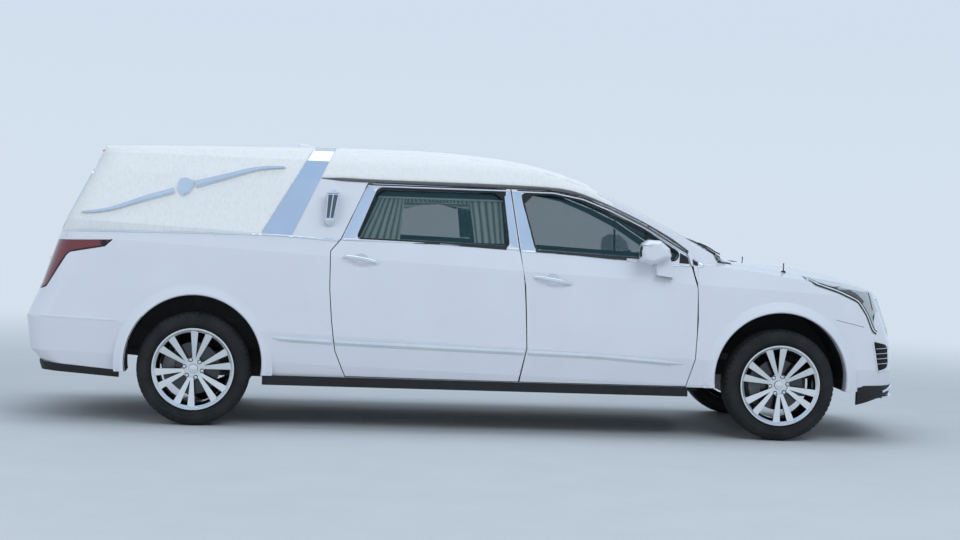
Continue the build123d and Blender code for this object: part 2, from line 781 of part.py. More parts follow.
# The left side also carries the load door's hinge leaves, in the gap beside the door
hinge_depth = box((TAIL, HALF / 2, 0), (TAIL + TAIL_WALL + 180, HALF, 2500))
hinge_heights = [box((-FAR, 0, z - HINGE_HEIGHT / 2), (FAR, WIDE, z + HINGE_HEIGHT / 2))
                 for z in LOAD_DOOR_HINGES]
with BuildPart() as load_door_hinges:
    add(hinge_heights[0])
    add(hinge_heights[1])
    add(tail_plug(SHUT_GAP + HINGE_SEAT), mode=Mode.INTERSECT)
    add(tail_plug(SEAT_GAP), mode=Mode.SUBTRACT)
    add(cabin.part, mode=Mode.INTERSECT)
    add(hinge_depth, mode=Mode.INTERSECT)
with BuildPart() as body_side_left:
    mirror(body_panel, about=Plane.XZ)
    add(load_door_hinges.part)
write(body_side_left.part, "body_side_left")

# Front fenders, bumper, headlamps and grille
def from_axle(points):
    return [(FRONT_AXLE + x, z) for x, z in points]


nose_side = side_prism(from_axle(FRONT_BUMPER), -WIDE, WIDE)
between = box((FRONT_AXLE + 500, -LAMP_INNER, 0), (FAR, LAMP_INNER, 2500))
headlamp_block = side_prism(from_axle(HEADLAMP), LAMP_INNER, WIDE)
hood_hole = hood_plug(SHUT_GAP)
with BuildPart() as front_fixed:
    add(front_end.part)
    add(hood_hole, mode=Mode.SUBTRACT)
    add(box((-FAR, -WIDE, 0), (FAR, WIDE, SILL_FOOT)), mode=Mode.SUBTRACT)
    add(opening_plug, mode=Mode.SUBTRACT)
    add(both_openings, mode=Mode.SUBTRACT)

cowl_box = box((0, -HOOD_EDGE[0][1], 1000), (HOOD_EDGE[0][0], HOOD_EDGE[0][1], 2500))
with BuildPart() as cowl:
    add(front_fixed.part)
    add(cowl_box, mode=Mode.INTERSECT)
write(cowl.part, "cowl")

with BuildPart() as headlamps:
    add(front_fixed.part)
    add(headlamp_block, mode=Mode.INTERSECT)
    mirror(about=Plane.XZ)
write(headlamps.part, "headlamps")

with BuildPart() as bumper_region:
    add(nose_side)
    add(between)

with BuildPart() as grille_hole:
    with BuildSketch(rear_plane(FRONT_AXLE + 600)):
        for edge in (GRILLE, INTAKE):
            with BuildLine():
                Polyline(*edge, *[(-y, z) for y, z in reversed(edge)], close=True)
            make_face()
        fillet(vertices(), 24)
    extrude(amount=FAR)

with BuildPart() as front_bumper:
    add(front_fixed.part)
    add(bumper_region.part, mode=Mode.INTERSECT)
    add(headlamp_block, mode=Mode.SUBTRACT)
    add(mirrored(headlamp_block), mode=Mode.SUBTRACT)
    add(grille_hole.part, mode=Mode.SUBTRACT)
write(front_bumper.part, "front_bumper")

with BuildPart() as fender:
    add(front_fixed.part)
    add(cowl_box, mode=Mode.SUBTRACT)
    add(bumper_region.part, mode=Mode.SUBTRACT)
    add(headlamp_block, mode=Mode.SUBTRACT)
    add(right_side, mode=Mode.INTERSECT)
    for z in DOOR_HINGES:
        face = foremost(FRONT_CUT, z) + SEAT_GAP
        add(hinge_box(face, z, HALF - DOOR_WALL + 10, HALF - FENDER_WALL, HINGE_ARM))
fender_panel = largest(fender.part)
write(fender_panel, "fender_right")
write(mirrored(fender_panel), "fender_left")


# Wheels, made round a local Z axis that points out of the car
def make_tyre():
    half, bead, out = TYRE_WIDTH / 2, RIM_OD / 2 - RIM_FLANGE + SEAT_GAP, TYRE_OD / 2
    flange = RIM_OD / 2 + 2
    middle = (flange + out) / 2
    with BuildPart() as tyre:
        with BuildSketch(Plane.XZ):
            with BuildLine():
                Polyline((flange, 14 - half), (bead, 22 - half), (bead, half - 22), (flange, half - 14))
                ThreePointArc((flange, half - 14), (middle, half), (out - 16, half - 16))
                Polyline((out - 16, half - 16), (out, half - 40), (out, 40 - half), (out - 16, 16 - half))
                ThreePointArc((out - 16, 16 - half), (middle, -half), (flange, 14 - half))
            make_face()
        revolve(axis=Axis.Z)
    return tyre.part


def make_spoke(side):
    """One spoke of a pair along local X: it grows deeper, wider and further from its twin."""
    with BuildPart() as spoke:
        for radius, off, width, depth, face in SPOKE_ENDS:
            middle = (radius, side * off, face - depth / 2)
            end = Plane(origin=middle, x_dir=(0, 1, 0), z_dir=(1, 0, 0))
            with BuildSketch(end):
                Rectangle(width, depth)
        loft(ruled=True)
        Cylinder(RIM_OD / 2 - RIM_FLANGE - RIM_WALL / 4, TYRE_OD, mode=Mode.INTERSECT)
    return spoke.part


def make_rim(spokes):
    half, lip = RIM_WIDTH / 2, RIM_OD / 2
    seat = lip - RIM_FLANGE
    with BuildPart() as rim:
        with BuildSketch(Plane.XZ):
            with BuildLine():
                Polyline((lip, -half), (lip, 7 - half), (seat, 12 - half), (seat, half - 12),
                         (lip, half - 7), (lip, half), (lip - 9, half), (seat - RIM_WALL, half - 16),
                         (seat - RIM_WALL - 16, 40), (seat - RIM_WALL - 16, 40 - half),
                         (seat - RIM_WALL, 16 - half), (lip - 9, -half), close=True)
            make_face()
            with BuildLine():
                Polyline((0, HUB_BACK), (HUB_RADIUS + 6, HUB_BACK), (HUB_RADIUS, HUB_FACE - 12),
                         (CAP_RADIUS, HUB_FACE - 12), (CAP_RADIUS - 3, HUB_FACE), (0, HUB_FACE + 4),
                         close=True)
            make_face()
            # brake disc and the bell that carries it
            with BuildLine():
                Polyline((SPINDLE + FIT, DISC_FACE - 26), (SPINDLE + 34, DISC_FACE - 26),
                         (SPINDLE + 34, DISC_FACE - 20), (DISC_RADIUS, DISC_FACE - 20),
                         (DISC_RADIUS, DISC_FACE), (HUB_RADIUS + 6, DISC_FACE),
                         (HUB_RADIUS + 6, HUB_BACK), (SPINDLE + FIT, HUB_BACK), close=True)
            make_face()
        revolve(axis=Axis.Z)
        for spoke in spokes:
            with PolarLocations(0, SPOKES, start_angle=90):
                add(spoke)
        # the lugs stand between the pairs
        first_lug = 90 + 180 / SPOKES
        with BuildSketch(Plane.XY.offset(HUB_FACE - 12)):
            with PolarLocations(LUG_CIRCLE / 2, LUGS, start_angle=first_lug):
                Circle(LUG_RECESS)
        extrude(amount=-12, mode=Mode.SUBTRACT)
        with BuildSketch(Plane.XY.offset(HUB_FACE - 24)):
            with PolarLocations(LUG_CIRCLE / 2, LUGS, start_angle=first_lug):
                RegularPolygon(LUG_NUT, 6)
        extrude(amount=16)
    return rim.part


wheel_place = {
    "front": Plane(origin=(FRONT_AXLE, -WHEEL_Y, HUB_Z), x_dir=(1, 0, 0), z_dir=(0, -1, 0)),
    "rear": Plane(origin=(REAR_AXLE, -WHEEL_Y, HUB_Z), x_dir=(1, 0, 0), z_dir=(0, -1, 0)),
}
tyre, rim = make_tyre(), make_rim([make_spoke(side) for side in (LEFT, RIGHT)])
for end, place in wheel_place.items():
    for shape, name in ((tyre, "tyre"), (rim, "rim")):
        right = place.location * Rotation(0, 0, WHEEL_TURN[end]) * shape
        write(right, f"{name}_{end}_right")
        write(mirrored(right), f"{name}_{end}_left")


# Knuckles, on the same local axes, with the kingpin inboard of the wheel's middle
def make_carrier(pins):
    """Spindle, upright and brake caliper, with kingpin stubs where the wheel steers."""
    back = DISC_FACE - 26 - RUN_GAP
    with BuildPart() as carrier:
        with BuildSketch(Plane.XY.offset(HUB_BACK - 1)):
            Circle(SPINDLE)
        extrude(amount=back - 40 - HUB_BACK + 1)
        with BuildSketch(Plane.XY.offset(back)):
            Circle(58)
        extrude(amount=-40)
        with BuildSketch(Plane.XY.offset(-KINGPIN_INSET + 20)):
            with Locations((0, 0)):
                SlotOverall(2 * BALL_HEIGHT - 22, 62, rotation=90)
        extrude(amount=-40)
        # caliper round the disc's edge, behind the axle line
        reach = DISC_RADIUS + RUN_GAP
        with BuildSketch(Plane.XY.offset(DISC_FACE + RUN_GAP + 22)):
            with BuildLine():
                outer = CenterArc((0, 0), reach + 26, 150, 60)
                inner = CenterArc((0, 0), reach - 50, 150, 60)
                Line(outer @ 0, inner @ 0)
                Line(outer @ 1, inner @ 1)
            make_face()
        extrude(amount=-(42 + 2 * RUN_GAP + 30))
        with BuildSketch(Plane.XY.offset(DISC_FACE + RUN_GAP)):
            Circle(reach)
        extrude(amount=-(20 + 2 * RUN_GAP), mode=Mode.SUBTRACT)
        with BuildSketch(Plane.XY.offset(back - 10)):
            Rectangle(reach, 56, align=(Align.MAX, Align.CENTER))
        extrude(amount=-24)
        with BuildSketch(Plane.XY.offset(back)):
            Circle(58)
        extrude(amount=DISC_FACE + RUN_GAP - back, mode=Mode.SUBTRACT)
        with BuildSketch(Plane.XY.offset(HUB_BACK - 1)):
            Circle(SPINDLE)
        extrude(amount=back - 40 - HUB_BACK + 1)
        if pins:
            for sense in (1, -1):
                with BuildSketch(Plane(origin=(0, sense * (BALL_HEIGHT - 12), -KINGPIN_INSET),
                                       x_dir=(1, 0, 0), z_dir=(0, sense, 0))):
                    Circle(PIN_RADIUS)
                extrude(amount=46)
    return carrier.part


knuckle = wheel_place["front"].location * make_carrier(True)
write(knuckle, "knuckle_right")
write(mirrored(knuckle), "knuckle_left")


# Front subframe with two arms a side that end in eyes on the kingpin stubs
kingpin_y = WHEEL_Y - KINGPIN_INSET
with BuildPart() as front_subframe:
    for level in (HUB_Z - BALL_HEIGHT - 8 - ARM_DEPTH / 2, HUB_Z + BALL_HEIGHT + 8 + ARM_DEPTH / 2):
        for side in (LEFT, RIGHT):
            with BuildSketch(Plane.XY.offset(level - ARM_DEPTH / 2)):
                with BuildLine():
                    Polyline((FRONT_AXLE - 22, side * kingpin_y), (FRONT_AXLE + 22, side * kingpin_y),
                             (FRONT_AXLE + 130, side * FRAME_HALF), (FRONT_AXLE - 130, side * FRAME_HALF),
                             close=True)
                make_face()
                with Locations((FRONT_AXLE, side * kingpin_y)):
                    Circle(24)
                    Circle(PIN_RADIUS + FIT, mode=Mode.SUBTRACT)
            extrude(amount=ARM_DEPTH)
    for side in (LEFT, RIGHT):
        with Locations((FRONT_AXLE, side * (FRAME_HALF - 30), HUB_Z)):
            Box(300, 70, 2 * BALL_HEIGHT + 16 + 2 * ARM_DEPTH)
        # brackets out to the body's rails
        with Locations((FRONT_AXLE, side * (FRAME_HALF - 10), RAIL_TOP - RAIL_HEIGHT / 2)):
            Box(180, 2 * (RAIL_HALF - RAIL_WIDTH / 2 - SEAT_GAP - FRAME_HALF + 10), 60)
    with Locations((FRONT_AXLE, 0, HUB_Z - BALL_HEIGHT - 8 - ARM_DEPTH / 2)):
        Box(300, 2 * FRAME_HALF - 60, ARM_DEPTH + 24)
write(front_subframe.part, "front_subframe")

rear_carrier = wheel_place["rear"].location * make_carrier(False)
with BuildPart() as rear_axle:
    add(rear_carrier)
    for level in (HUB_Z - BALL_HEIGHT / 2, HUB_Z + BALL_HEIGHT / 2):
        with Locations((REAR_AXLE, -(kingpin_y + FRAME_HALF) / 2, level)):
            Box(52, kingpin_y - FRAME_HALF + 40, ARM_DEPTH)
    with Locations((REAR_AXLE, -FRAME_HALF + 20, HUB_Z)):
        Box(420, 90, BALL_HEIGHT + 40)
    # bushes up to the floor at the four corners of the frame
    with BuildSketch(Plane.XY.offset(HUB_Z)):
        with Locations((REAR_AXLE - 170, 20 - FRAME_HALF), (REAR_AXLE + 170, 20 - FRAME_HALF)):
            Circle(32)
    extrude(amount=REAR_FLOOR - FLOOR_DEPTH - SEAT_GAP - HUB_Z)
    mirror(about=Plane.XZ)
    with Locations((REAR_AXLE, 0, HUB_Z)):
        Box(260, 2 * FRAME_HALF, 110)
write(rear_axle.part, "rear_axle")

engine_foot = HUB_Z - BALL_HEIGHT - 8 - ARM_DEPTH / 2 + (ARM_DEPTH + 24) / 2 + SEAT_GAP
with BuildPart() as engine:
    with Locations((FRONT_AXLE + 40, 0, engine_foot + ENGINE_HEIGHT / 2)):
        Box(560, 2 * FRAME_HALF - 150, ENGINE_HEIGHT)
    chamfer(engine.edges().group_by(Axis.Z)[-1], 60)
write(engine.part, "engine_block")

sill_length = FIREWALL - REAR_AXLE - ARCH_RADIUS - 50
sill_middle = (FIREWALL + REAR_AXLE + ARCH_RADIUS) / 2 - 20

# Floor: a flat cabin floor, a step up over the rear axle, sill strips and front rails
with BuildPart() as floor_pan:
    with BuildSketch(side_plane(FLOOR_HALF)):
        with BuildLine():
            Polyline((FIREWALL + 40, FLOOR_TOP - FLOOR_DEPTH), (FIREWALL + 40, DASH_TOP),
                     (FIREWALL, DASH_TOP), (FIREWALL, FLOOR_TOP + 120), (FIREWALL - 160, FLOOR_TOP),
                     (KICK_UP, FLOOR_TOP), (KICK_UP, FLOOR_TOP - FLOOR_DEPTH), close=True)
        make_face()
    extrude(amount=2 * FLOOR_HALF)
    with BuildSketch(side_plane(REAR_HALF)):
        with BuildLine():
            Polyline((KICK_UP, FLOOR_TOP), (KICK_UP - 60, REAR_FLOOR), (TAIL + 230, REAR_FLOOR),
                     (TAIL + 230, REAR_FLOOR - FLOOR_DEPTH), (KICK_UP - 100, REAR_FLOOR - FLOOR_DEPTH),
                     (KICK_UP - 40, FLOOR_TOP - FLOOR_DEPTH), (KICK_UP, FLOOR_TOP - FLOOR_DEPTH),
                     close=True)
        make_face()
    extrude(amount=2 * REAR_HALF)
    for side in (LEFT, RIGHT):
        with Locations((sill_middle, side * (FLOOR_HALF + SILL_OUTER) / 2, SILL_FOOT - SEAT_GAP)):
            Box(sill_length, SILL_OUTER - FLOOR_HALF + 2 * SILL_LAP, SILL_DEPTH,
                align=(Align.CENTER, Align.CENTER, Align.MAX))
        with Locations(((FIREWALL + NOSE) / 2 - 60, side * RAIL_HALF, RAIL_TOP - RAIL_HEIGHT / 2)):
            Box(NOSE - FIREWALL - 240, RAIL_WIDTH, RAIL_HEIGHT)
    with Locations((KICK_UP - 265, 0, REAR_FLOOR - FLOOR_DEPTH - 100)):
        Box(300, 900, 210)
write(floor_pan.part, "floor_pan")

# Wheel-house liners: a band round each tyre and a wall inboard of it, inside the body panels
def liner(axle, inner, band_foot, wall_foot, room):
    """Right liner of one axle, inside the room that the panels leave."""
    radius = ARCH_RADIUS + SHUT_GAP
    with BuildPart() as shape:
        with BuildSketch(side_plane(-inner)):
            with Locations((axle, HUB_Z + ARCH_RISE)):
                Circle(radius + LINER_WALL)
                Circle(radius, mode=Mode.SUBTRACT)
            with Locations((axle, 0)):
                Rectangle(3 * radius, 2 * band_foot, mode=Mode.SUBTRACT)
        extrude(amount=HALF - inner)
        with BuildSketch(side_plane(-inner)):
            with Locations((axle, HUB_Z + ARCH_RISE)):
                Circle(radius + LINER_WALL)
            with Locations((axle, 0)):
                Rectangle(3 * radius, 2 * wall_foot, mode=Mode.SUBTRACT)
        extrude(amount=LINER_WALL)
        add(room, mode=Mode.INTERSECT)
    return shape.part


rail_side = RAIL_HALF + RAIL_WIDTH / 2 + SEAT_GAP
with BuildPart() as wheel_liners:
    add(liner(FRONT_AXLE, rail_side, SILL_FOOT, RAIL_TOP + 50, bay_clear))
    add(liner(REAR_AXLE, REAR_HALF + SEAT_GAP, SILL_FOOT, REAR_FLOOR - FLOOR_DEPTH, cabin_clear))
    mirror(about=Plane.XZ)
write(wheel_liners.part, "wheel_liners")

# Casket deck, dashboard, seats, steering wheel
with BuildPart() as casket_deck:
    with BuildSketch(Plane.XY.offset(DECK_TOP - DECK_THICKNESS)):
        with Locations(((DECK_FRONT + DECK_REAR) / 2, 0)):
            Rectangle(DECK_FRONT - DECK_REAR, 2 * DECK_HALF)
    extrude(amount=DECK_THICKNESS)
    for x in (DECK_FRONT - 60, KICK_UP + 100):
        with Locations((x, 0, (DECK_TOP - DECK_THICKNESS + FLOOR_TOP + SEAT_GAP) / 2)):
            Box(60, 2 * DECK_HALF, DECK_TOP - DECK_THICKNESS - FLOOR_TOP - SEAT_GAP)
    for x in (KICK_UP - 300, DECK_REAR + 80):
        with Locations((x, 0, (DECK_TOP - DECK_THICKNESS + REAR_FLOOR + SEAT_GAP) / 2)):
            Box(60, 2 * DECK_HALF, DECK_TOP - DECK_THICKNESS - REAR_FLOOR - SEAT_GAP)
    with BuildSketch(Plane.XY.offset(DECK_TOP)):
        with Locations(((DECK_FRONT + DECK_REAR) / 2, 0)):
            with GridLocations(*BIER_PINS, 2, 2):
                Circle(BIER_PIN)
    extrude(amount=-DECK_THICKNESS, mode=Mode.SUBTRACT)
write(casket_deck.part, "casket_deck")

wheel_tilt = Plane(origin=(STEERING[0], STEERING[1], STEERING[2]), x_dir=(0, 1, 0),
                   z_dir=(-cos(radians(STEERING_TILT)), 0, sin(radians(STEERING_TILT))))
with BuildPart() as dashboard:
    with BuildSketch(side_plane(FLOOR_HALF - 10)):
        with BuildLine():
            Polyline((FIREWALL - SEAT_GAP, 700), (FIREWALL - SEAT_GAP, 1120), (FIREWALL - 140, 1150),
                     (FIREWALL - 420, 1110), (FIREWALL - 440, 980), (FIREWALL - 300, 760),
                     (FIREWALL - 160, 700), close=True)
        make_face()
        fillet(vertices().group_by(Axis.X)[0], 30)
    extrude(amount=2 * (FLOOR_HALF - 10))
    with BuildSketch(wheel_tilt):
        Circle(COLUMN_RADIUS + FIT)
    extrude(amount=-2 * COLUMN_LENGTH, mode=Mode.SUBTRACT)
write(dashboard.part, "dashboard")

with BuildPart() as front_seats:
    for side in (LEFT, RIGHT):
        with BuildSketch(side_plane(-side * SEAT_Y + SEAT_WIDTH / 2)):
            with BuildLine():
                Polyline((SEAT_X, 420), (SEAT_X + 520, 440), (SEAT_X + 540, 590), (SEAT_X + 60, 560),
                         (SEAT_X - 130, 1130), (SEAT_X - 240, 1130), (SEAT_X - 90, 420), close=True)
            make_face()
            fillet(vertices(), 34)
        extrude(amount=SEAT_WIDTH)
        with Locations((SEAT_X + 220, side * SEAT_Y, FLOOR_TOP + SEAT_GAP)):
            Box(380, 360, SEAT_FOOT, align=(Align.CENTER, Align.CENTER, Align.MIN))
        with Locations(Location((SEAT_X - 215, side * SEAT_Y, 1230), (0, -14, 0))):
            Box(90, 260, 180)
            with Locations((0, 0, -100)):
                Box(20, 160, 90)
write(front_seats.part, "front_seats")

with BuildPart() as steering_wheel:
    with BuildSketch(Plane(origin=wheel_tilt.from_local_coords((STEERING_RADIUS, 0, 0)),
                           x_dir=wheel_tilt.x_dir, z_dir=wheel_tilt.y_dir)):
        Circle(15)
    revolve(axis=Axis(wheel_tilt.origin, wheel_tilt.z_dir))
    with BuildSketch(wheel_tilt.offset(-30)):
        Circle(70)
    extrude(amount=34)
    with BuildSketch(wheel_tilt.offset(-22)):
        Rectangle(2 * STEERING_RADIUS, 38)
        with Locations((0, -STEERING_RADIUS / 2)):
            Rectangle(38, STEERING_RADIUS)
    extrude(amount=18)
    with BuildSketch(wheel_tilt.offset(-30)):
        Circle(COLUMN_RADIUS)
    extrude(amount=-COLUMN_LENGTH)
write(steering_wheel.part, "steering_wheel")

# Curtains inside the rear doors: two drapes and the valance between them
with BuildPart() as curtain:
    add(loft_levels(UPPER, PILLAR_WALL + SEAT_GAP))
    add(loft_levels(UPPER, PILLAR_WALL + SEAT_GAP + CURTAIN_DEPTH), mode=Mode.SUBTRACT)
    add(side_prism(from_post(CURTAINS), HALF / 2, HALF), mode=Mode.INTERSECT)
write(curtain.part, "curtains_right")
write(mirrored(curtain.part), "curtains_left")

# Grille and intake as slotted plates on the nose's own curve
with BuildPart() as grille:
    add(loft_levels(LOWER, 22))
    add(loft_levels(LOWER, 36), mode=Mode.SUBTRACT)
    with BuildSketch(rear_plane(FRONT_AXLE + 600)):
        for edge in (GRILLE, INTAKE):
            with BuildLine():
                Polyline(*edge, *[(-y, z) for y, z in reversed(edge)], close=True)
            make_face()
        fillet(vertices(), 24)
        offset(amount=-SEAT_GAP)
        with BuildSketch(mode=Mode.SUBTRACT):
            for row in range(GRILLE_ROWS):
                z = GRILLE[2][1] + 30 + GRILLE_PITCH * row
                half = 300 + 70 * min(row / 4, 1)
                for sense in (LEFT, RIGHT):
                    with Locations((sense * (half / 2 + 6), z)):
                        Rectangle(half - 12, GRILLE_PITCH - 16)
            for row in range(2):
                with Locations((0, INTAKE[1][1] + 34 + 44 * row)):
                    Rectangle(880, 28)
    extrude(amount=FAR, mode=Mode.INTERSECT)
write(grille.part, "grille")

# Coach lamps: a lantern with a foot, a cap and three ribs, off a plate on the roof's side
((lamp_x, lamp_z),) = from_post([LAMP_MIDDLE])
side_lean = atan(SIDE_LEAN)
lamp_plane = Plane(origin=(lamp_x, -skin_y(lamp_z), lamp_z), x_dir=(1, 0, 0),
                   z_dir=(0, -cos(side_lean), sin(side_lean)))


def lantern_form(stations):
    """A form up the lantern's leaning axis: (along, across, out from the skin, width, depth)."""
    with BuildPart() as form:
        for along, across, out, width, depth in stations:
            middle = lamp_plane.from_local_coords((along * LAMP_LEAN + across, along, out + depth / 2))
            with BuildSketch(Plane(origin=middle, x_dir=(1, 0, 0), z_dir=lamp_plane.y_dir)):
                Rectangle(width, depth)
        loft(ruled=True)
    return form.part


lantern = lantern_form([(along, 0, LAMP_SEAT, width, depth) for along, width, depth in LAMP_FORM])
rib_ends = [LAMP_FORM[k] for k in LAMP_GLASS]
ribs = [
    lantern_form([(along, place * (width - LAMP_RIB) / 2, LAMP_SEAT + depth - LAMP_RIB, LAMP_RIB,
                   2 * LAMP_RIB) for along, width, depth in rib_ends])
    for place in (-1, 0, 1)
]
seat_face = loft_levels(UPPER, -SEAT_GAP)
with BuildPart() as coach_lamps:
    with BuildSketch(lamp_plane.offset(-LAMP_SEAT)):
        Rectangle(*LAMP_PLATE, rotation=-degrees(atan(LAMP_LEAN)))
    extrude(amount=3 * LAMP_SEAT)
    add(lantern)
    for rib in ribs:
        add(rib)
    add(seat_face, mode=Mode.SUBTRACT)
    mirror(about=Plane.XZ)
write(coach_lamps.part, "coach_lamps")


# Landau bars: two ridged halves on either side of a bare boss
def bar_outline(stations, share):
    """Closed outline of a bar half, or of its ridge, about its middle line."""
    points = from_post([(x, z) for x, z, half in stations])
    before, after = [points[0], *points[:-1]], [*points[1:], points[-1]]
    upper, lower = [], []
    for (x, z), (x0, z0), (x1, z1), (_, _, half) in zip(points, before, after, stations):
        length = sqrt((x1 - x0)**2 + (z1 - z0)**2)
        across_x, across_z = -(z1 - z0) / length * half * share, (x1 - x0) / length * half * share
        upper.append((x + across_x, z + across_z))
        lower.append((x - across_x, z - across_z))
    return upper + lower[::-1]


def raised(outlines, proud):
    """Solids on the right side's slope above the belt, that far out from the skin."""
    with BuildPart() as shape:
        for points in outlines:
            add(side_prism(points, HALF / 2, HALF))
        add(loft_levels(UPPER, -proud), mode=Mode.INTERSECT)
        add(seat_face, mode=Mode.SUBTRACT)
    return shape.part


bar_halves = (BAR_REAR, BAR_FRONT)
boss = from_post(BAR_BOSS)
boss_middle = (sum(x for x, z in boss) / len(boss), sum(z for x, z in boss) / len(boss))
boss_top = [tuple(m + (c - m) * BOSS_TOP for c, m in zip(point, boss_middle))
            for point in boss]
with BuildPart() as landau_bars:
    add(raised([bar_outline(half, 1) for half in bar_halves] + [boss], BAR_PROUD))
    add(raised([bar_outline(half, RIDGE_SHARE) for half in bar_halves] + [boss_top], BAR_RIDGE))
    mirror(about=Plane.XZ)
write(landau_bars.part, "landau_bars")
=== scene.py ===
"""Looks of the funeral coach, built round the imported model: finishes, trim, curtains, seats and lamps.

Metres, in the model's frame: +X forward, +Y the car's left side, +Z up, the ground at zero.
"""

import json
import math
from collections import namedtuple

import bmesh
import bpy
from mathutils import Matrix, Vector
from mathutils.bvhtree import BVHTree


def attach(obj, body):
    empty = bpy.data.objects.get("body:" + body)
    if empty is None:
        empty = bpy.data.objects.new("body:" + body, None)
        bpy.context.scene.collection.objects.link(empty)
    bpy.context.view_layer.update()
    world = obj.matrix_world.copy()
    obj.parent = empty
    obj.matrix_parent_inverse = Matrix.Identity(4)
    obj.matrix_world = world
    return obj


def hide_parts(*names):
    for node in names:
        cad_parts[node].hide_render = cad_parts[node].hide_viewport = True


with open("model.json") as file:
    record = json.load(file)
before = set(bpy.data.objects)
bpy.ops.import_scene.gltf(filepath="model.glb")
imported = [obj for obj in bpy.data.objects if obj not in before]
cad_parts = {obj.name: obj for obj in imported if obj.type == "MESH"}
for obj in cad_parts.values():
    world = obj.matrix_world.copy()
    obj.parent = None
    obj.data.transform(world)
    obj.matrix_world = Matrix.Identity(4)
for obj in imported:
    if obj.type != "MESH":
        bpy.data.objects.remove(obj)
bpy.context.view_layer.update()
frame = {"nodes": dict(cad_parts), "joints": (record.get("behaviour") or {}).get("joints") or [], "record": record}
SIDES = {"right": -1, "left": 1}
ENDS = ("front", "rear")
X, Y, Z = Vector((1, 0, 0)), Vector((0, 1, 0)), Vector((0, 0, 1))

# Stations read from the frame
JOINTS = {j["name"]: Vector(j["pos_m"]) for j in frame["joints"]}
HUBS = {end: JOINTS[f"wheel_{end}_right_spin"] for end in ENDS}
DOOR_POST = HUBS["front"].x - 1.760

# Camera, at the photograph's place and angle
CAMERA_AT = Vector((-0.9417, -14.188, 1.5838))
CAMERA_YAW = 0.07213
CAMERA_PITCH = -0.03713
CAMERA_ROLL = 0.0349
CAMERA_LENS = 75
CAMERA_SENSOR = 36


def linked(name, data):
    obj = bpy.data.objects.new(name, data)
    bpy.context.scene.collection.objects.link(obj)
    return obj


def add_camera():
    ahead = Vector((math.sin(CAMERA_YAW) * math.cos(CAMERA_PITCH),
                    math.cos(CAMERA_YAW) * math.cos(CAMERA_PITCH), math.sin(CAMERA_PITCH)))
    level = ahead.cross(Z).normalized()
    above = level.cross(ahead)
    right = level * math.cos(CAMERA_ROLL) + above * math.sin(CAMERA_ROLL)
    up = above * math.cos(CAMERA_ROLL) - level * math.sin(CAMERA_ROLL)
    data = bpy.data.cameras.new("camera")
    data.lens, data.sensor_width = CAMERA_LENS, CAMERA_SENSOR
    camera = linked("camera", data)
    camera.matrix_world = Matrix.Translation(CAMERA_AT) @ Matrix((right, up, -ahead)).transposed().to_4x4()
    bpy.context.scene.camera = camera


# Materials. Each one is a Principled shader fed by a few procedural nodes in object space.
class Nodes:
    """Short ways to add nodes to a tree."""

    def __init__(self, tree):
        self.tree = tree

    def feed(self, socket, value):
        if isinstance(value, bpy.types.NodeSocket):
            self.tree.links.new(value, socket)
        else:
            socket.default_value = value

    def node(self, kind, **values):
        """A node with its properties set, and its inputs set or linked, by name."""
        node = self.tree.nodes.new(kind)
        for key, value in values.items():
            if hasattr(node, key):
                setattr(node, key, value)
            else:
                self.feed(node.inputs[key.replace("_", " ")], value)
        return node

    def maths(self, operation, a, b=0.0):
        node = self.node("ShaderNodeMath", operation=operation)
        for socket, value in zip(node.inputs, (a, b)):
            self.feed(socket, value)
        return node.outputs["Value"]

    def coordinates(self, kind):
        return self.node("ShaderNodeTexCoord").outputs[kind]

    def split(self, source):
        return self.node("ShaderNodeSeparateXYZ", Vector=source).outputs

    def mixed(self, factor, a, b, **more):
        return self.node("ShaderNodeMix", data_type="RGBA", Factor=factor, A=a, B=b, **more).outputs["Result"]

    def mixed_shader(self, *sources):
        node = self.node("ShaderNodeMixShader")
        for socket, source in zip(node.inputs, sources):
            self.feed(socket, source)
        return node.outputs["Shader"]

    def rays(self, *kinds):
        """1 for a ray of any of the kinds."""
        path = self.node("ShaderNodeLightPath").outputs
        out = path[f"Is {kinds[0]} Ray"]
        for kind in kinds[1:]:
            out = self.maths("MAXIMUM", out, path[f"Is {kind} Ray"])
        return out

    def ramp(self, factor, *stops):
        ramp = self.node("ShaderNodeValToRGB", Fac=factor)
        elements = ramp.color_ramp.elements
        while len(elements) < len(stops):
            elements.new(0.5)
        for element, (place, colour) in zip(elements, stops):
            element.position, element.color = place, (*colour, 1)
        return ramp.outputs["Color"]


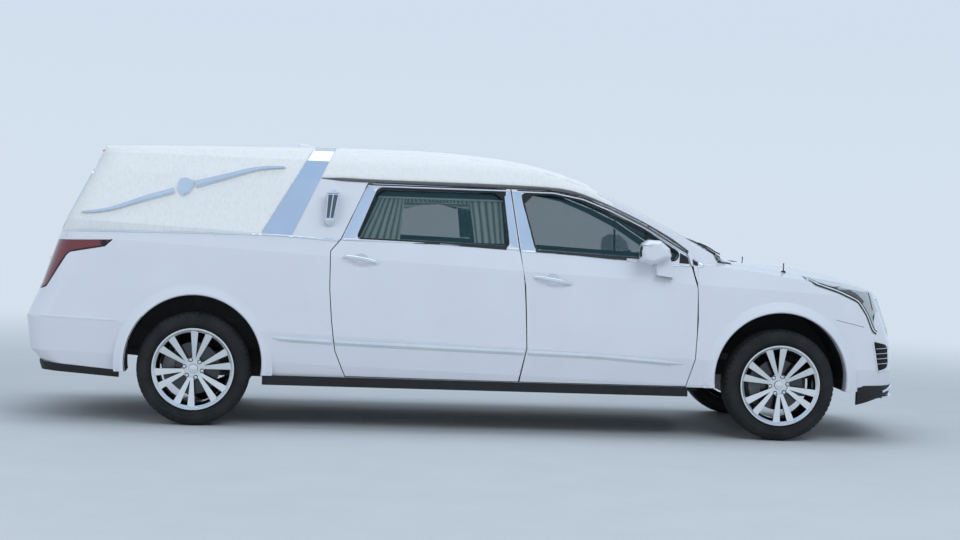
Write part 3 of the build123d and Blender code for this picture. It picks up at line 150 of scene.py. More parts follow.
class Shader(Nodes):
    """A new material with short ways to add the nodes that the finishes share."""

    def __init__(self, name, **values):
        self.material = bpy.data.materials.new(name)
        self.material.use_nodes = True
        super().__init__(self.material.node_tree)
        self.bsdf = self.tree.nodes["Principled BSDF"]
        for key, value in values.items():
            self.bsdf.inputs[key.replace("_", " ")].default_value = value
        self.coords = self.coordinates("Object")

    def noise(self, scale, detail=3.0, rough=0.5, stretch=(1, 1, 1)):
        place = self.node("ShaderNodeMapping", Scale=stretch, Vector=self.coords).outputs["Vector"]
        return self.node("ShaderNodeTexNoise", Scale=scale, Detail=detail, Roughness=rough,
                         Vector=place).outputs["Fac"]

    def wave(self, scale, axis, distortion=0.0, detail=0.0):
        return self.node("ShaderNodeTexWave", bands_direction=axis, Scale=scale, Distortion=distortion,
                         Detail=detail, Vector=self.coords).outputs["Fac"]

    def base(self, colour):
        self.feed(self.bsdf.inputs["Base Color"], colour)
        return self

    def colour(self, factor, *stops):
        return self.base(self.ramp(factor, *stops))

    def roughness(self, factor, low, high):
        spread = self.node("ShaderNodeMapRange", To_Min=low, To_Max=high, Value=factor)
        self.feed(self.bsdf.inputs["Roughness"], spread.outputs["Result"])
        return self

    def bump(self, *layers):
        """Layers of (height, distance in metres), the first one at the bottom."""
        under = {}
        for height, distance in layers:
            bump = self.node("ShaderNodeBump", Strength=1.0, Distance=distance, Height=height, **under)
            under = {"Normal": bump.outputs["Normal"]}
        self.feed(self.bsdf.inputs["Normal"], under["Normal"])
        return self


def grey(value, tint=(1, 1, 1)):
    return tuple(value * t for t in tint)


RIM_SHADE_DEPTH = 0.864                     # further in than this, a wheel's rim is darkened as painted shade behind its spokes
LINING = (0.030, 0.032, 0.034)
SKIN_HALF, CEILING, TAIL_INSIDE = 0.93, 0.88, -2.2
PAINT_TINT = (0.98, 0.99, 1.06)


def lined(s, colour):
    """A colour with a dark lining over faces that look into the cabin, load space or engine bay."""
    facing, place, maths = s.split(s.coordinates("Normal")), s.split(s.coords), s.maths
    inward = maths("LESS_THAN", maths("MULTIPLY", facing["Y"], place["Y"]), -0.10)
    within = maths("LESS_THAN", maths("ABSOLUTE", place["Y"]), SKIN_HALF)
    under = maths("MULTIPLY", maths("LESS_THAN", facing["Z"], -0.5), maths("GREATER_THAN", place["Z"], CEILING))
    ahead = maths("MULTIPLY", maths("GREATER_THAN", facing["X"], 0.5),
                  maths("LESS_THAN", place["X"], TAIL_INSIDE))
    sides = maths("MAXIMUM", maths("MULTIPLY", inward, within), maths("MULTIPLY", under, within))
    s.base(s.mixed(maths("MAXIMUM", sides, ahead), colour, (*LINING, 1)))


def paint_material():
    """Gloss white paint: a coat over a base with faint orange peel."""
    s = Shader("paint", Roughness=0.32, Coat_Weight=1.0, Coat_Roughness=0.03)
    lined(s, s.ramp(s.noise(3, 2), (0.3, grey(0.78, PAINT_TINT)), (0.7, grey(0.81, PAINT_TINT))))
    return s.bump((s.noise(220, 1), 0.00003)).material


def vinyl_material():
    """White grained vinyl with a linen weave that runs up and down."""
    s = Shader("vinyl", Specular_IOR_Level=0.35)
    weave = s.noise(1, 2, 0.6, (420, 420, 90))
    streaks = s.noise(1, 3, 0.65, (90, 60, 14))
    lined(s, s.ramp(streaks, (0.30, grey(0.86, (1, 0.995, 0.985))), (0.5, grey(0.92, (1, 0.997, 0.99))),
                    (0.72, grey(0.95, (1, 1, 0.995)))))
    s.roughness(weave, 0.55, 0.75)
    return s.bump((streaks, 0.0007), (weave, 0.0006), (s.wave(300, "X"), 0.0002)).material


def chrome_material():
    s = Shader("chrome", Metallic=1.0)
    s.colour(s.noise(6, 2), (0.3, (0.80, 0.82, 0.85)), (0.7, (0.86, 0.88, 0.90)))
    s.roughness(s.noise(30, 2), 0.04, 0.10)
    return s.bump((s.noise(120, 1), 0.00001)).material


def stainless_material():
    """Polished stainless sheet of the roof band and door pillars, faintly brushed."""
    s = Shader("stainless", Metallic=1.0)
    s.colour(s.noise(2, 3, 0.6, (1, 1, 0.4)), (0.3, (0.66, 0.71, 0.80)), (0.7, (0.76, 0.81, 0.88)))
    s.roughness(s.noise(1, 2, 0.6, (700, 700, 30)), 0.10, 0.20)
    return s.bump((s.noise(5, 1), 0.0006), (s.noise(1, 2, 0.5, (900, 900, 40)), 0.00002)).material


def glass_material():
    """Tinted safety glass."""
    s = Shader("glass", Roughness=0.01, Alpha=0.34, IOR=1.52, Coat_Weight=0.5, Coat_Roughness=0.0)
    return s.colour(s.noise(1.5, 2), (0.3, (0.001, 0.046, 0.058)), (0.7, (0.002, 0.060, 0.074))).material


def tyre_material():
    """Tyre rubber, a little dusty."""
    s = Shader("rubber", Specular_IOR_Level=0.35)
    dust = s.noise(9, 4, 0.6)
    s.colour(dust, (0.35, grey(0.010)), (0.65, grey(0.024, (1, 0.98, 0.95))))
    s.roughness(dust, 0.55, 0.8)
    return s.bump((s.noise(700, 2), 0.0001)).material


def alloy_material():
    """Machined and lacquered wheel faces and dark silver spoke sides, with painted shade over the rim further in,
    behind the spokes.
    """
    s = Shader("alloy", Metallic=1.0, Coat_Weight=0.6, Coat_Roughness=0.05)
    facing, out = (s.maths("ABSOLUTE", s.split(v)["Y"]) for v in (s.coordinates("Normal"), s.coords))
    faces = s.ramp(facing, (0.45, (0.13, 0.135, 0.14)), (0.75, (0.80, 0.81, 0.82)))
    # Painted shade: every part of the rim further in than the spokes' backs is made near black.
    s.base(s.mixed(s.maths("LESS_THAN", out, RIM_SHADE_DEPTH), faces, (0.055, 0.055, 0.058, 1)))
    s.roughness(s.noise(240, 2), 0.18, 0.30)
    return s.bump((s.noise(500, 1), 0.00003)).material


def moulded_material(name, value, roughness=(0.45, 0.6), grain=900, depth=0.0001):
    """Moulded plastic with a fine grain."""
    s = Shader(name)
    s.colour(s.noise(12, 3), (0.3, grey(value)), (0.7, grey(value * 1.35)))
    s.roughness(s.noise(60, 2), *roughness)
    return s.bump((s.noise(grain, 2), depth)).material


def cast_material():
    s = Shader("cast_iron", Metallic=0.6)
    s.colour(s.noise(25, 5), (0.3, grey(0.10)), (0.7, grey(0.20, (1, 0.96, 0.92))))
    s.roughness(s.noise(40, 3), 0.45, 0.7)
    return s.bump((s.noise(260, 3), 0.0003)).material


def leather_material():
    s = Shader("leather", Specular_IOR_Level=0.4)
    cells = s.node("ShaderNodeTexVoronoi", Scale=320.0, Vector=s.coords)
    s.colour(s.noise(14, 3), (0.3, grey(0.020)), (0.7, grey(0.042, (1, 0.98, 0.96))))
    s.roughness(s.noise(50, 2), 0.38, 0.55)
    return s.bump((cells.outputs["Distance"], 0.0003)).material


def slotted_material():
    """Black moulded screen with fine slots across, with painted shade darkening the bottom of each slot."""
    s = Shader("grille_slots", Roughness=0.55)
    slot_grooves_and_shade = s.wave(40, "Y")
    # Painted shade: the colour follows the slots' bump and is darker at the bottom of each slot.
    s.colour(slot_grooves_and_shade, (0.35, grey(0.004)), (0.6, grey(0.022)))
    return s.bump((slot_grooves_and_shade, 0.002)).material


def mirror_material():
    s = Shader("mirror_glass", Metallic=1.0)
    s.colour(s.noise(3, 2), (0.3, (0.60, 0.64, 0.68)), (0.7, (0.66, 0.70, 0.74)))
    return s.roughness(s.noise(8, 2), 0.02, 0.05).material


def cloth_material(name, dark, light):
    """Curtain cloth with a close weave, with painted shade in its folds: darker where a vertex's fold attribute says
    it lies deep.
    """
    s = Shader(name, Roughness=0.85, Sheen_Weight=0.3, Sheen_Roughness=0.4)
    cloth = s.ramp(s.noise(7, 3, 0.6, (1, 1, 0.3)), (0.3, dark), (0.7, light))
    # Painted shade: the fold attribute darkens the cloth where a vertex lies deep in a fold.
    folds = s.node("ShaderNodeAttribute", attribute_name="fold_shade").outputs["Fac"]
    shade = s.ramp(folds, (0.0, grey(1.0)), (0.35, grey(0.55)), (1.0, grey(0.16)))
    s.base(s.mixed(1.0, cloth, shade, blend_type="MULTIPLY"))
    return s.bump((s.wave(700, "X"), 0.0001), (s.wave(700, "Z"), 0.0001)).material


def wood_material():
    s = Shader("deck_wood", Coat_Weight=0.7, Coat_Roughness=0.08)
    rings = s.wave(9, "Y", 5.0, 3.0)
    s.colour(rings, (0.2, (0.10, 0.045, 0.02)), (0.8, (0.24, 0.12, 0.055)))
    s.roughness(rings, 0.35, 0.5)
    return s.bump((s.noise(1, 3, 0.6, (6, 300, 300)), 0.0001)).material


def lens_material(name, dark, light):
    """Clear or tinted moulded lens with fine upright flutes behind its surface."""
    s = Shader(name, Roughness=0.05, Coat_Weight=1.0, Coat_Roughness=0.02)
    s.colour(s.wave(55, "Z", 1.0), (0.3, dark), (0.8, light))
    return s.bump((s.wave(110, "X"), 0.0002)).material


# Brightness, and where they differ from the usual, the roughness range, grain and its depth
MOULDED = {
    "underbody": (0.012, (0.6, 0.8), 300, 0.0004),
    "dash": (0.018,),
    "grille": (0.012, (0.15, 0.3)),
    "gap": (0.004, (0.8, 0.9)),
    "rubber_trim": (0.010, (0.5, 0.65)),
    "trim_black": (0.006, (0.06, 0.12)),
    "rail": (0.095, (0.30, 0.40)),
    "lamp_inner": (0.085, (0.08, 0.15)),
}
LENSES = {
    "headlamp": ((0.25, 0.27, 0.29), (0.62, 0.66, 0.70)),
    "tail_lamp": ((0.10, 0.001, 0.004), (0.26, 0.003, 0.010)),
    "amber": ((0.55, 0.12, 0.01), (0.9, 0.25, 0.02)),
    "lamp_glass": ((0.035, 0.045, 0.060), (0.10, 0.115, 0.14)),
    "led": ((0.80, 0.84, 0.88), (0.95, 0.96, 0.97)),
    "reflector": ((0.30, 0.004, 0.006), (0.55, 0.010, 0.012)),
}
MATERIALS = {
    "paint": paint_material(),
    "vinyl": vinyl_material(),
    "chrome": chrome_material(),
    "stainless": stainless_material(),
    "glass": glass_material(),
    "tyre": tyre_material(),
    "rim": alloy_material(),
    "cast": cast_material(),
    "seat": leather_material(),
    "curtain": cloth_material("curtain_cloth", (0.66, 0.82, 0.70), (0.82, 0.95, 0.86)),
    "header": cloth_material("header_cloth", (0.012, 0.030, 0.032), (0.022, 0.046, 0.048)),
    "deck": wood_material(),
    "mirror_glass": mirror_material(),
    "grille_slots": slotted_material(),
    **{name: moulded_material(name, *values) for name, values in MOULDED.items()},
    **{name: lens_material(name, *values) for name, values in LENSES.items()},
}
# Nodes finished otherwise than by their slot
NODE_FINISHES = {"roof_band": "stainless", "cowl": "grille_slots"}


def dress_nodes():
    """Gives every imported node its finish."""
    for row in frame["record"]["subparts"]:
        materials = frame["nodes"][row["node"]].data.materials
        materials.clear()
        materials.append(MATERIALS[NODE_FINISHES.get(row["node"], row["material_slot"])])


# Studio: a pale floor that runs out into a pale surround, and soft lights
FLOOR_SIZE = 60
FLOOR_COLOUR = (0.60, 0.62, 0.64)
SURROUND, SKY = (0.66, 0.75, 0.85), (0.45, 0.62, 0.86)
FADE_FROM, FADE_TO = 4.5, 12.0
LAMP_COLOUR = (0.86, 0.93, 1.0)
LAMPS_AIM = Vector((0, 0, 0.9))
LAMPS = {"key": ((3.5, -7.0, 6.5), (6, 3), 215), "top": ((0.0, 0.5, 8.0), (8, 4), 170),
         "fill": ((-6.0, -6.0, 3.5), (4, 3), 90), "back": ((0.0, 9.0, 5.0), (9, 3), 150)}
WORLD_COLOUR, WORLD_LEVEL = (0.76, 0.88, 1.0, 1), 0.58


def add_floor():
    mesh = bpy.data.meshes.new("floor")
    r = FLOOR_SIZE
    mesh.from_pydata([(-r, -r, 0), (r, -r, 0), (r, r, 0), (-r, r, 0)], [], [(0, 1, 2, 3)])
    floor = linked("floor", mesh)
    s = Shader("floor", Roughness=0.75)
    s.colour(s.noise(2, 6, 0.7), (0.3, grey(0.97, FLOOR_COLOUR)), (0.7, grey(1.03, FLOOR_COLOUR)))
    away = s.node("ShaderNodeVectorMath", operation="LENGTH")
    s.feed(away.inputs[0], s.coords)
    fade = s.node("ShaderNodeMapRange", interpolation_type="SMOOTHSTEP", From_Min=FADE_FROM, From_Max=FADE_TO,
                  Value=away.outputs["Value"])
    glow = s.node("ShaderNodeEmission", Color=(*SURROUND, 1))
    share = s.maths("MULTIPLY", s.rays("Camera", "Glossy"), fade.outputs["Result"])
    s.feed(s.tree.nodes["Material Output"].inputs["Surface"],
           s.mixed_shader(share, s.bsdf.outputs["BSDF"], glow.outputs["Emission"]))
    mesh.materials.append(s.material)


def add_studio():
    add_floor()
    world = bpy.data.worlds.new("studio")
    bpy.context.scene.world = world
    world.use_nodes = True
    s = Nodes(world.node_tree)
    light = s.tree.nodes["Background"]
    light.inputs["Color"].default_value, light.inputs["Strength"].default_value = WORLD_COLOUR, WORLD_LEVEL
    sky = s.ramp(s.split(s.coordinates("Generated"))["Z"], (0.0, SURROUND), (0.9, SKY))
    shown = s.node("ShaderNodeBackground", Color=sky).outputs["Background"]
    s.feed(s.tree.nodes["World Output"].inputs["Surface"],
           s.mixed_shader(s.rays("Camera", "Glossy", "Transmission"), light.outputs["Background"], shown))
    for name, (at, size, power) in LAMPS.items():
        data = bpy.data.lights.new(name, "AREA")
        data.shape, data.size, data.size_y, data.energy = "RECTANGLE", *size, power
        data.color = LAMP_COLOUR
        lamp = linked(name, data)
        lamp.location = at
        lamp.visible_glossy = name == "top"
        lamp.rotation_euler = (LAMPS_AIM - Vector(at)).to_track_quat("-Z", "Y").to_euler()
    bpy.context.scene.view_settings.view_transform = "Standard"


# Geometry helpers
Column = namedtuple("Column", "across height")
MIRROR_CLEAR = 0.957                    # a door's skin is looked at from here, under the mirror
MIRROR_ZONE = 0.7
SUNK = 0.0015                           # how far trim reaches into the skin that it lies on


def clamp(value, low=0.0, high=1.0):
    return min(max(value, low), high)


def even(path, step, closed=False):
    """The path with points at even steps along it."""
    points = [Vector(p) for p in path]
    if closed:
        points.append(points[0])
    lengths = [0.0]
    for a, b in zip(points, points[1:]):
        lengths.append(lengths[-1] + (b - a).length)
    count = max(round(lengths[-1] / step), 2)
    out, k = [], 0
    for i in range(count if closed else count + 1):
        at = lengths[-1] * i / count
        while k < len(points) - 2 and lengths[k + 1] < at:
            k += 1
        span = lengths[k + 1] - lengths[k]
        out.append(points[k].lerp(points[k + 1], (at - lengths[k]) / span if span else 0))
    return out


def rounded(points, radius, step=0.012, closed=False):
    """A polyline with its corners rounded, at even steps."""
    points = [Vector(p) for p in points]
    path = []
    for i, here in enumerate(points):
        if not closed and i in (0, len(points) - 1):
            path.append(here)
            continue
        before, after = points[i - 1] - here, points[(i + 1) % len(points)] - here
        a, b = (here + side.normalized() * min(radius, side.length * 0.48) for side in (before, after))
        for t in (0, 0.2, 0.4, 0.6, 0.8, 1):
            path.append(a.lerp(here, t).lerp(here.lerp(b, t), t))
    return even(path, step, closed)


def grown(points, amount):
    """A closed outline in the plane moved outwards by an amount."""
    points = [Vector(p) for p in points]
    turn = sum(a.x * b.y - b.x * a.y for a, b in zip(points, points[1:] + points[:1]))
    sign = 1 if turn > 0 else -1
    out = []
    for i, here in enumerate(points):
        ahead = (points[(i + 1) % len(points)] - here).normalized()
        back = (here - points[i - 1]).normalized()
        normals = [Vector((d.y, -d.x)) * sign for d in (back, ahead)]
        middle = (normals[0] + normals[1]).normalized()
        out.append(here + middle * amount / max(middle.dot(normals[0]), 0.4))
    return out


def heading_at(path, i):
    """Along an open path, at its point i."""
    return path[min(i + 1, len(path) - 1)] - path[max(i - 1, 0)]


class Skin:
    """The outer skin of some CAD nodes, found by rays. Each answer is (place, normal) or None."""

    def __init__(self, *nodes):
        verts, faces = [], []
        for node in nodes:
            mesh = frame["nodes"][node].data
            base = len(verts)
            verts += [v.co.copy() for v in mesh.vertices]
            faces += [tuple(base + i for i in p.vertices) for p in mesh.polygons]
        self.tree = BVHTree.FromPolygons(verts, faces)

    def ray(self, start, heading):
        at, normal, _, _ = self.tree.ray_cast(Vector(start), Vector(heading))
        return (at, normal if normal.dot(Vector(heading)) < 0 else -normal) if at else None

    def nearest(self, point, side):
        at, normal, _, _ = self.tree.find_nearest(Vector(point))
        return at, normal if normal.y * side > 0 else -normal

    def panel(self, point, side):
        """Where a door's skin lies beside a point, seen from under its mirror; None at the mirror's foot."""
        at, normal, _, _ = self.tree.ray_cast(Vector((point[0], MIRROR_CLEAR * side, point[1])), -Y * side)
        if at is not None:
            return (at, normal) if normal.y * side > 0 else None
        if point[0] < DOOR_POST + MIRROR_ZONE:
            return self.beside(point, side)
        return self.nearest((point[0], (MIRROR_CLEAR - 0.10) * side, point[1]), side)

    def beside(self, point, side):
        """Where the skin lies beside a point (x, z) of the side view, or the nearest place to it."""
        hit = self.ray((point[0], 2 * side, point[1]), (0, -side, 0))
        return hit if hit and hit[0].y * side > 0.4 else self.nearest((point[0], 0.9 * side, point[1]), side)

    def above(self, point):
        return self.ray((point[0], point[1], 3), (0, 0, -1))

    def behind(self, point):
        """Where the skin lies behind a point (y, z) of the rear view."""
        return self.ray((-4, point[0], point[1]), (1, 0, 0))

    def ahead(self, point):
        """Where the skin lies ahead of a point (y, z) of the front view."""
        return self.ray((4, point[0], point[1]), (-1, 0, 0))


# Looks, as (finish, slot)
CHROME = ("chrome", "chrome")
BLACK = ("rubber_trim", "underbody")
GLOSS_BLACK = ("trim_black", "underbody")
PAINT = ("paint", "paint")
SATIN = ("rail", "underbody")


def new_piece(name, body, mesh, look=CHROME, sharp=40, bevel=0.0, levels=0):
    """Adds a mesh as a piece of the model, riding on a body, in the finish of look; look's slot is not used."""
    finish, slot = look
    obj = linked(name, mesh)
    mesh.shade_smooth()
    mesh.set_sharp_from_angle(angle=math.radians(sharp))
    mesh.materials.append(MATERIALS[finish])
    if bevel:
        modifier = obj.modifiers.new("edges", "BEVEL")
        modifier.width, modifier.segments, modifier.limit_method = bevel, 2, "ANGLE"
        modifier.harden_normals = True
    if levels:
        modifier = obj.modifiers.new("smooth", "SUBSURF")
        modifier.levels = modifier.render_levels = levels
    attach(obj, body)
    return obj


def to_mesh(name, bm):
    bmesh.ops.remove_doubles(bm, verts=bm.verts, dist=1e-6)
    bmesh.ops.recalc_face_normals(bm, faces=bm.faces)
    mesh = bpy.data.meshes.new(name)
    bm.to_mesh(mesh)
    bm.free()
    return mesh


def loft_rings(bm, rings, closed=False):
    """Joins rings of as many points each; every ring is itself closed."""
    rows = [[bm.verts.new(p) for p in ring] for ring in rings]
    for a, b in list(zip(rows, rows[1:])) + ([(rows[-1], rows[0])] if closed else []):
        for i in range(len(a)):
            j = (i + 1) % len(a)
            bm.faces.new((a[i], a[j], b[j], b[i]))
    if not closed:
        bm.faces.new(rows[0])
        bm.faces.new(reversed(rows[-1]))


def lofts(name, body, runs, look=CHROME, closed=False, **more):
    """A piece of one or more lofts, each through a run of rings."""
    bm = bmesh.new()
    for rings in runs:
        loft_rings(bm, rings, closed)
    return new_piece(name, body, to_mesh(name, bm), look, **more)


def grid_faces(bm, rows):
    """Faces between the neighbouring points of a grid; returns the grid's vertices."""
    verts = [[bm.verts.new(p) for p in row] for row in rows]
    for a, b in zip(verts, verts[1:]):
        for i in range(len(a) - 1):
            bm.faces.new((a[i], a[i + 1], b[i + 1], b[i]))
    return verts


def slice_mesh(bm, axis, place):
    at, normal = Vector((0, 0, 0)), Vector((0, 0, 0))
    at[axis], normal[axis] = place, 1
    bmesh.ops.bisect_plane(bm, geom=bm.verts[:] + bm.edges[:] + bm.faces[:], plane_co=at, plane_no=normal)


def circle(count):
    return [2 * math.pi * j / count for j in range(count)]


def ring(centre, right, up, count=16):
    """An ellipse of points round a centre, from its two half axes."""
    return [centre + right * math.cos(a) + up * math.sin(a) for a in circle(count)]


def turned(base, axis, right, up, stations, count=16):
    """Round rings along an axis, at stations of (radius, distance along it)."""
    return [ring(base + axis * along, right * r, up * r, count) for r, along in stations]


def strip_rings(find, path, half_width, columns, closed=False):
    """Rings of a strip that follows a skin: find gives the skin beside a point of the view."""
    rings, count = [], len(path)
    for i, here in enumerate(path):
        along = path[(i + 1) % count] - path[i - 1] if closed else heading_at(path, i)
        across = Vector((-along.y, along.x)).normalized()
        half, scale = half_width, 1
        if callable(half_width):
            half = half_width(i / (count - 1))
            scale = min(half / half_width(0.5), 1)
        hits = [find(here + across * column.across * half) for column in columns]
        if None not in hits:
            over = [at + normal * column.height * scale for (at, normal), column in zip(hits, columns)]
            rings.append(over + [at - normal * SUNK for at, normal in hits[::-1]])
    return rings


FLAT = [Column(a, h) for a, h in ((-1, 0), (-0.97, 0.7), (-0.85, 1), (0, 1), (0.85, 1), (0.97, 0.7), (1, 0))]
ROUND = [Column(math.cos(math.pi * k / 8), math.sin(math.pi * k / 8)) for k in range(8, -1, -1)]
RIDGED = [Column(a, h) for a, h in ((-1, 0), (-0.92, 0.45), (-0.5, 0.62), (-0.1, 1), (0.12, 1), (0.55, 0.5),
                                    (0.92, 0.4), (1, 0))]
FLARE = [Column(a, h) for a, h in ((-1, 0), (-0.97, 0.6), (-0.88, 1), (-0.6, 0.95), (-0.2, 0.75), (0.2, 0.45),
                                   (0.6, 0.16), (0.85, 0.03), (1, 0))]


def profile(shape, height):
    return [Column(c.across, c.height * height) for c in shape]


def strip(name, body, find, path, half_width, height, look=CHROME, shape=ROUND, closed=False):
    rings = strip_rings(find, path, half_width, profile(shape, height), closed)
    return lofts(name, body, [rings], look, closed)


def plate(name, body, find, outline, height, look, cell=0.02, edge=0.002):
    """A thin plate of any outline in the view, laid on the skin with a rolled edge."""
    outline = [Vector(p) for p in outline]
    bm = bmesh.new()
    face = bm.faces.new([bm.verts.new((*p, 0)) for p in outline])
    bmesh.ops.inset_region(bm, faces=[face], thickness=edge, use_even_offset=True)
    low, high = (Vector([pick(p[i] for p in outline) for i in range(2)]) for pick in (min, max))
    for axis in range(2):
        steps = max(int((high[axis] - low[axis]) / cell), 1)
        for k in range(1, steps):
            slice_mesh(bm, axis, low[axis] + (high[axis] - low[axis]) * k / steps)
    rim = {v for e in bm.edges if len(e.link_faces) == 1 for v in e.verts}
    faces, twins = list(bm.faces), {}
    for v in list(bm.verts):
        flat = v.co.xy
        at, normal = find(flat) or find(flat.lerp((low + high) / 2, 0.04))
        v.co = at + normal * (0 if v in rim else height)
        twins[v] = bm.verts.new(at - normal * SUNK)
    for f in faces:
        bm.faces.new([twins[v] for v in reversed(f.verts)])
    for e in [e for e in bm.edges if len(e.link_faces) == 1]:
        a, b = e.verts
        if a in twins and b in twins:
            bm.faces.new((a, b, twins[b], twins[a]))
    return new_piece(name, body, to_mesh(name, bm), look)


# Side views of the trim as (x, z). Windows and pillar covers count x from the door post.
MOULDING_LINE = ((-1.349, 0.597), (-0.951, 0.581), (0.838, 0.539), (1.414, 0.502))
MOULDING_HALF = 0.018
MOULDING_RUNS = (("quarter", "root", -1.349, -0.953), ("rear_door", "rear_door", -0.930, 0.330),
                 ("front_door", "front_door", 0.352, 1.410))
POINTED = {"quarter": lambda t: MOULDING_HALF * min(1, 0.12 + 6 * t),
           "rear_door": lambda t: MOULDING_HALF,
           "front_door": lambda t: MOULDING_HALF * min(1, 0.12 + 9 * (1 - t))}
REAR_WINDOW = ((-1.108, 1.280), (-0.978, 1.604), (-0.147, 1.604), (-0.106, 1.255), (-0.563, 1.268))
FRONT_WINDOW = ((0.088, 1.236), (-0.010, 1.600), (0.198, 1.600), (0.397, 1.565), (0.587, 1.493),
                (0.821, 1.383), (1.052, 1.240), (1.030, 1.196), (0.278, 1.229))
PILLAR_COVERS = {
    "rear_cover": ("rear_door", ((-1.211, 1.269), (-1.124, 1.272), (-0.992, 1.612), (-1.056, 1.617))),
    "front_cover": ("rear_door", ((-0.137, 1.612), (-0.094, 1.256), (-0.034, 1.242), (-0.094, 1.614))),
    "cover": ("front_door", ((-0.080, 1.614), (-0.020, 1.612), (0.076, 1.235), (-0.016, 1.226))),
}
DRIP_RAIL = ((-1.054, 1.664), (-0.737, 1.655), (0.146, 1.652), (0.457, 1.646), (0.600, 1.634), (0.722, 1.602),
             (0.929, 1.518), (1.127, 1.426), (1.290, 1.336), (1.430, 1.256))
# Black corner of the front window, on the door and on the fender, with its bright edges
SAIL_LINE = ((1.432, 1.228), (1.462, 1.209), (1.530, 1.166))
SAIL_FOOT = ((1.340, 1.163), (1.440, 1.160), (1.470, 1.158), (1.526, 1.156))
SAIL_DOOR = ((1.372, 1.246), (1.424, 1.217), (1.437, 1.172), (1.366, 1.176))
SAIL_FENDER = ((1.456, 1.205), (1.516, 1.168), (1.514, 1.163), (1.462, 1.164))
FENDER_CORNER = ((1.4595, 1.163), (1.489, 1.163), (1.489, 1.050), (1.4865, 1.050), (1.4835, 1.060),
                 (1.471, 1.100), (1.4625, 1.140))
VENT_POST = ((1.144, 1.372), (1.156, 1.196))
QUARTER_BELT = ((-2.785, 1.262), (-2.171, 1.271), (-1.463, 1.277), (-1.243, 1.271), (-0.985, 1.2545),
                (-0.915, 1.2530))
BAND_EDGES = {"rear": (-1.756, -1.414), "front": (-1.553, -1.279)}
BAND_FOOT, BAND_RISE = 1.270, 0.593
SIDE_MARKER = ((2.441, 0.713), (2.470, 0.714), (2.532, 0.616), (2.503, 0.615))
SIDE_VENT = ((2.708, 0.690), (2.812, 0.668), (2.846, 0.640), (2.850, 0.545), (2.830, 0.505),
             (2.746, 0.484), (2.728, 0.585))
HANDLES = {"rear_door": ((-0.895, 1.148), (-0.658, 1.113)), "front_door": ((0.384, 1.056), (0.631, 1.018))}
FIN_FOOT = 1.862
FIN = ((-1.236, 1.868), (-1.230, 1.912), (-1.205, 1.911), (-1.150, 1.897), (-1.085, 1.872))
ARCH_RADIUS, ARCH_RISE, FLARE_HALF = 0.450, 0.040, 0.036

BODY = ("body_side_{}", "fender_{}", "rear_bumper", "front_bumper", "tail_lamps", "headlamps")
UPPER = ("roof", "vinyl_top", "roof_band")


def finders(side):
    """Ways to find the skin beside a point (x, z), by the name of the skin."""
    sign, body = SIDES[side], [n.format(side) for n in BODY]
    skins = {"body": Skin(*body), "all": Skin(*body, *UPPER)}
    for end in ENDS:
        skins[f"{end}_door"] = Skin(f"{end}_door_{side}")
    skins["front_glass"] = Skin(f"front_door_glass_{side}")
    find = {key: (lambda p, s=skin: s.beside(p, sign)) for key, skin in skins.items()}
    for end in ENDS:
        find[f"{end}_panel"] = lambda p, s=skins[f"{end}_door"]: s.panel(p, sign)
    return find


def add_mouldings(side, find):
    """Bright moulding along the lower doors, in three runs, pointed at its outer ends."""
    for run, body, low, high in MOULDING_RUNS:
        path = even([p for p in even(MOULDING_LINE, 0.004) if low <= p.x <= high], 0.02)
        strip(f"moulding_{run}_{side}", body if body == "root" else f"{body}_{side}",
              find["body" if body == "root" else body], path, POINTED[run], 0.010, shape=RIDGED)


def window_lines(end, window):
    """Paths round a door's window: its frame's black line, and the bright lines over and under it."""
    wide, over = grown(window, 0.0175), grown(window, 0.0275)
    if end == "rear":
        return (even((over[1] - Vector((0.06, 0)), over[2]), 0.01),
                {"top": [wide[1] - Vector((0.062, 0)), wide[2] + Vector((0.045, 0))],
                 "bottom": [wide[3] + Vector((0.062, -0.006)), wide[4], wide[0], wide[0] - Vector((0.075, 0.002))]})
    return (rounded(over[1:6] + [Vector((1.432, 1.238))], 0.02, 0.01),
            {"top": [wide[1] - Vector((0.050, 0)), *wide[2:6], Vector(SAIL_LINE[0])],
             "bottom": [Vector(SAIL_FOOT[1]), wide[7] + Vector((0.0, -0.022)), wide[8],
                        wide[0] - Vector((0.088, -0.004))]})


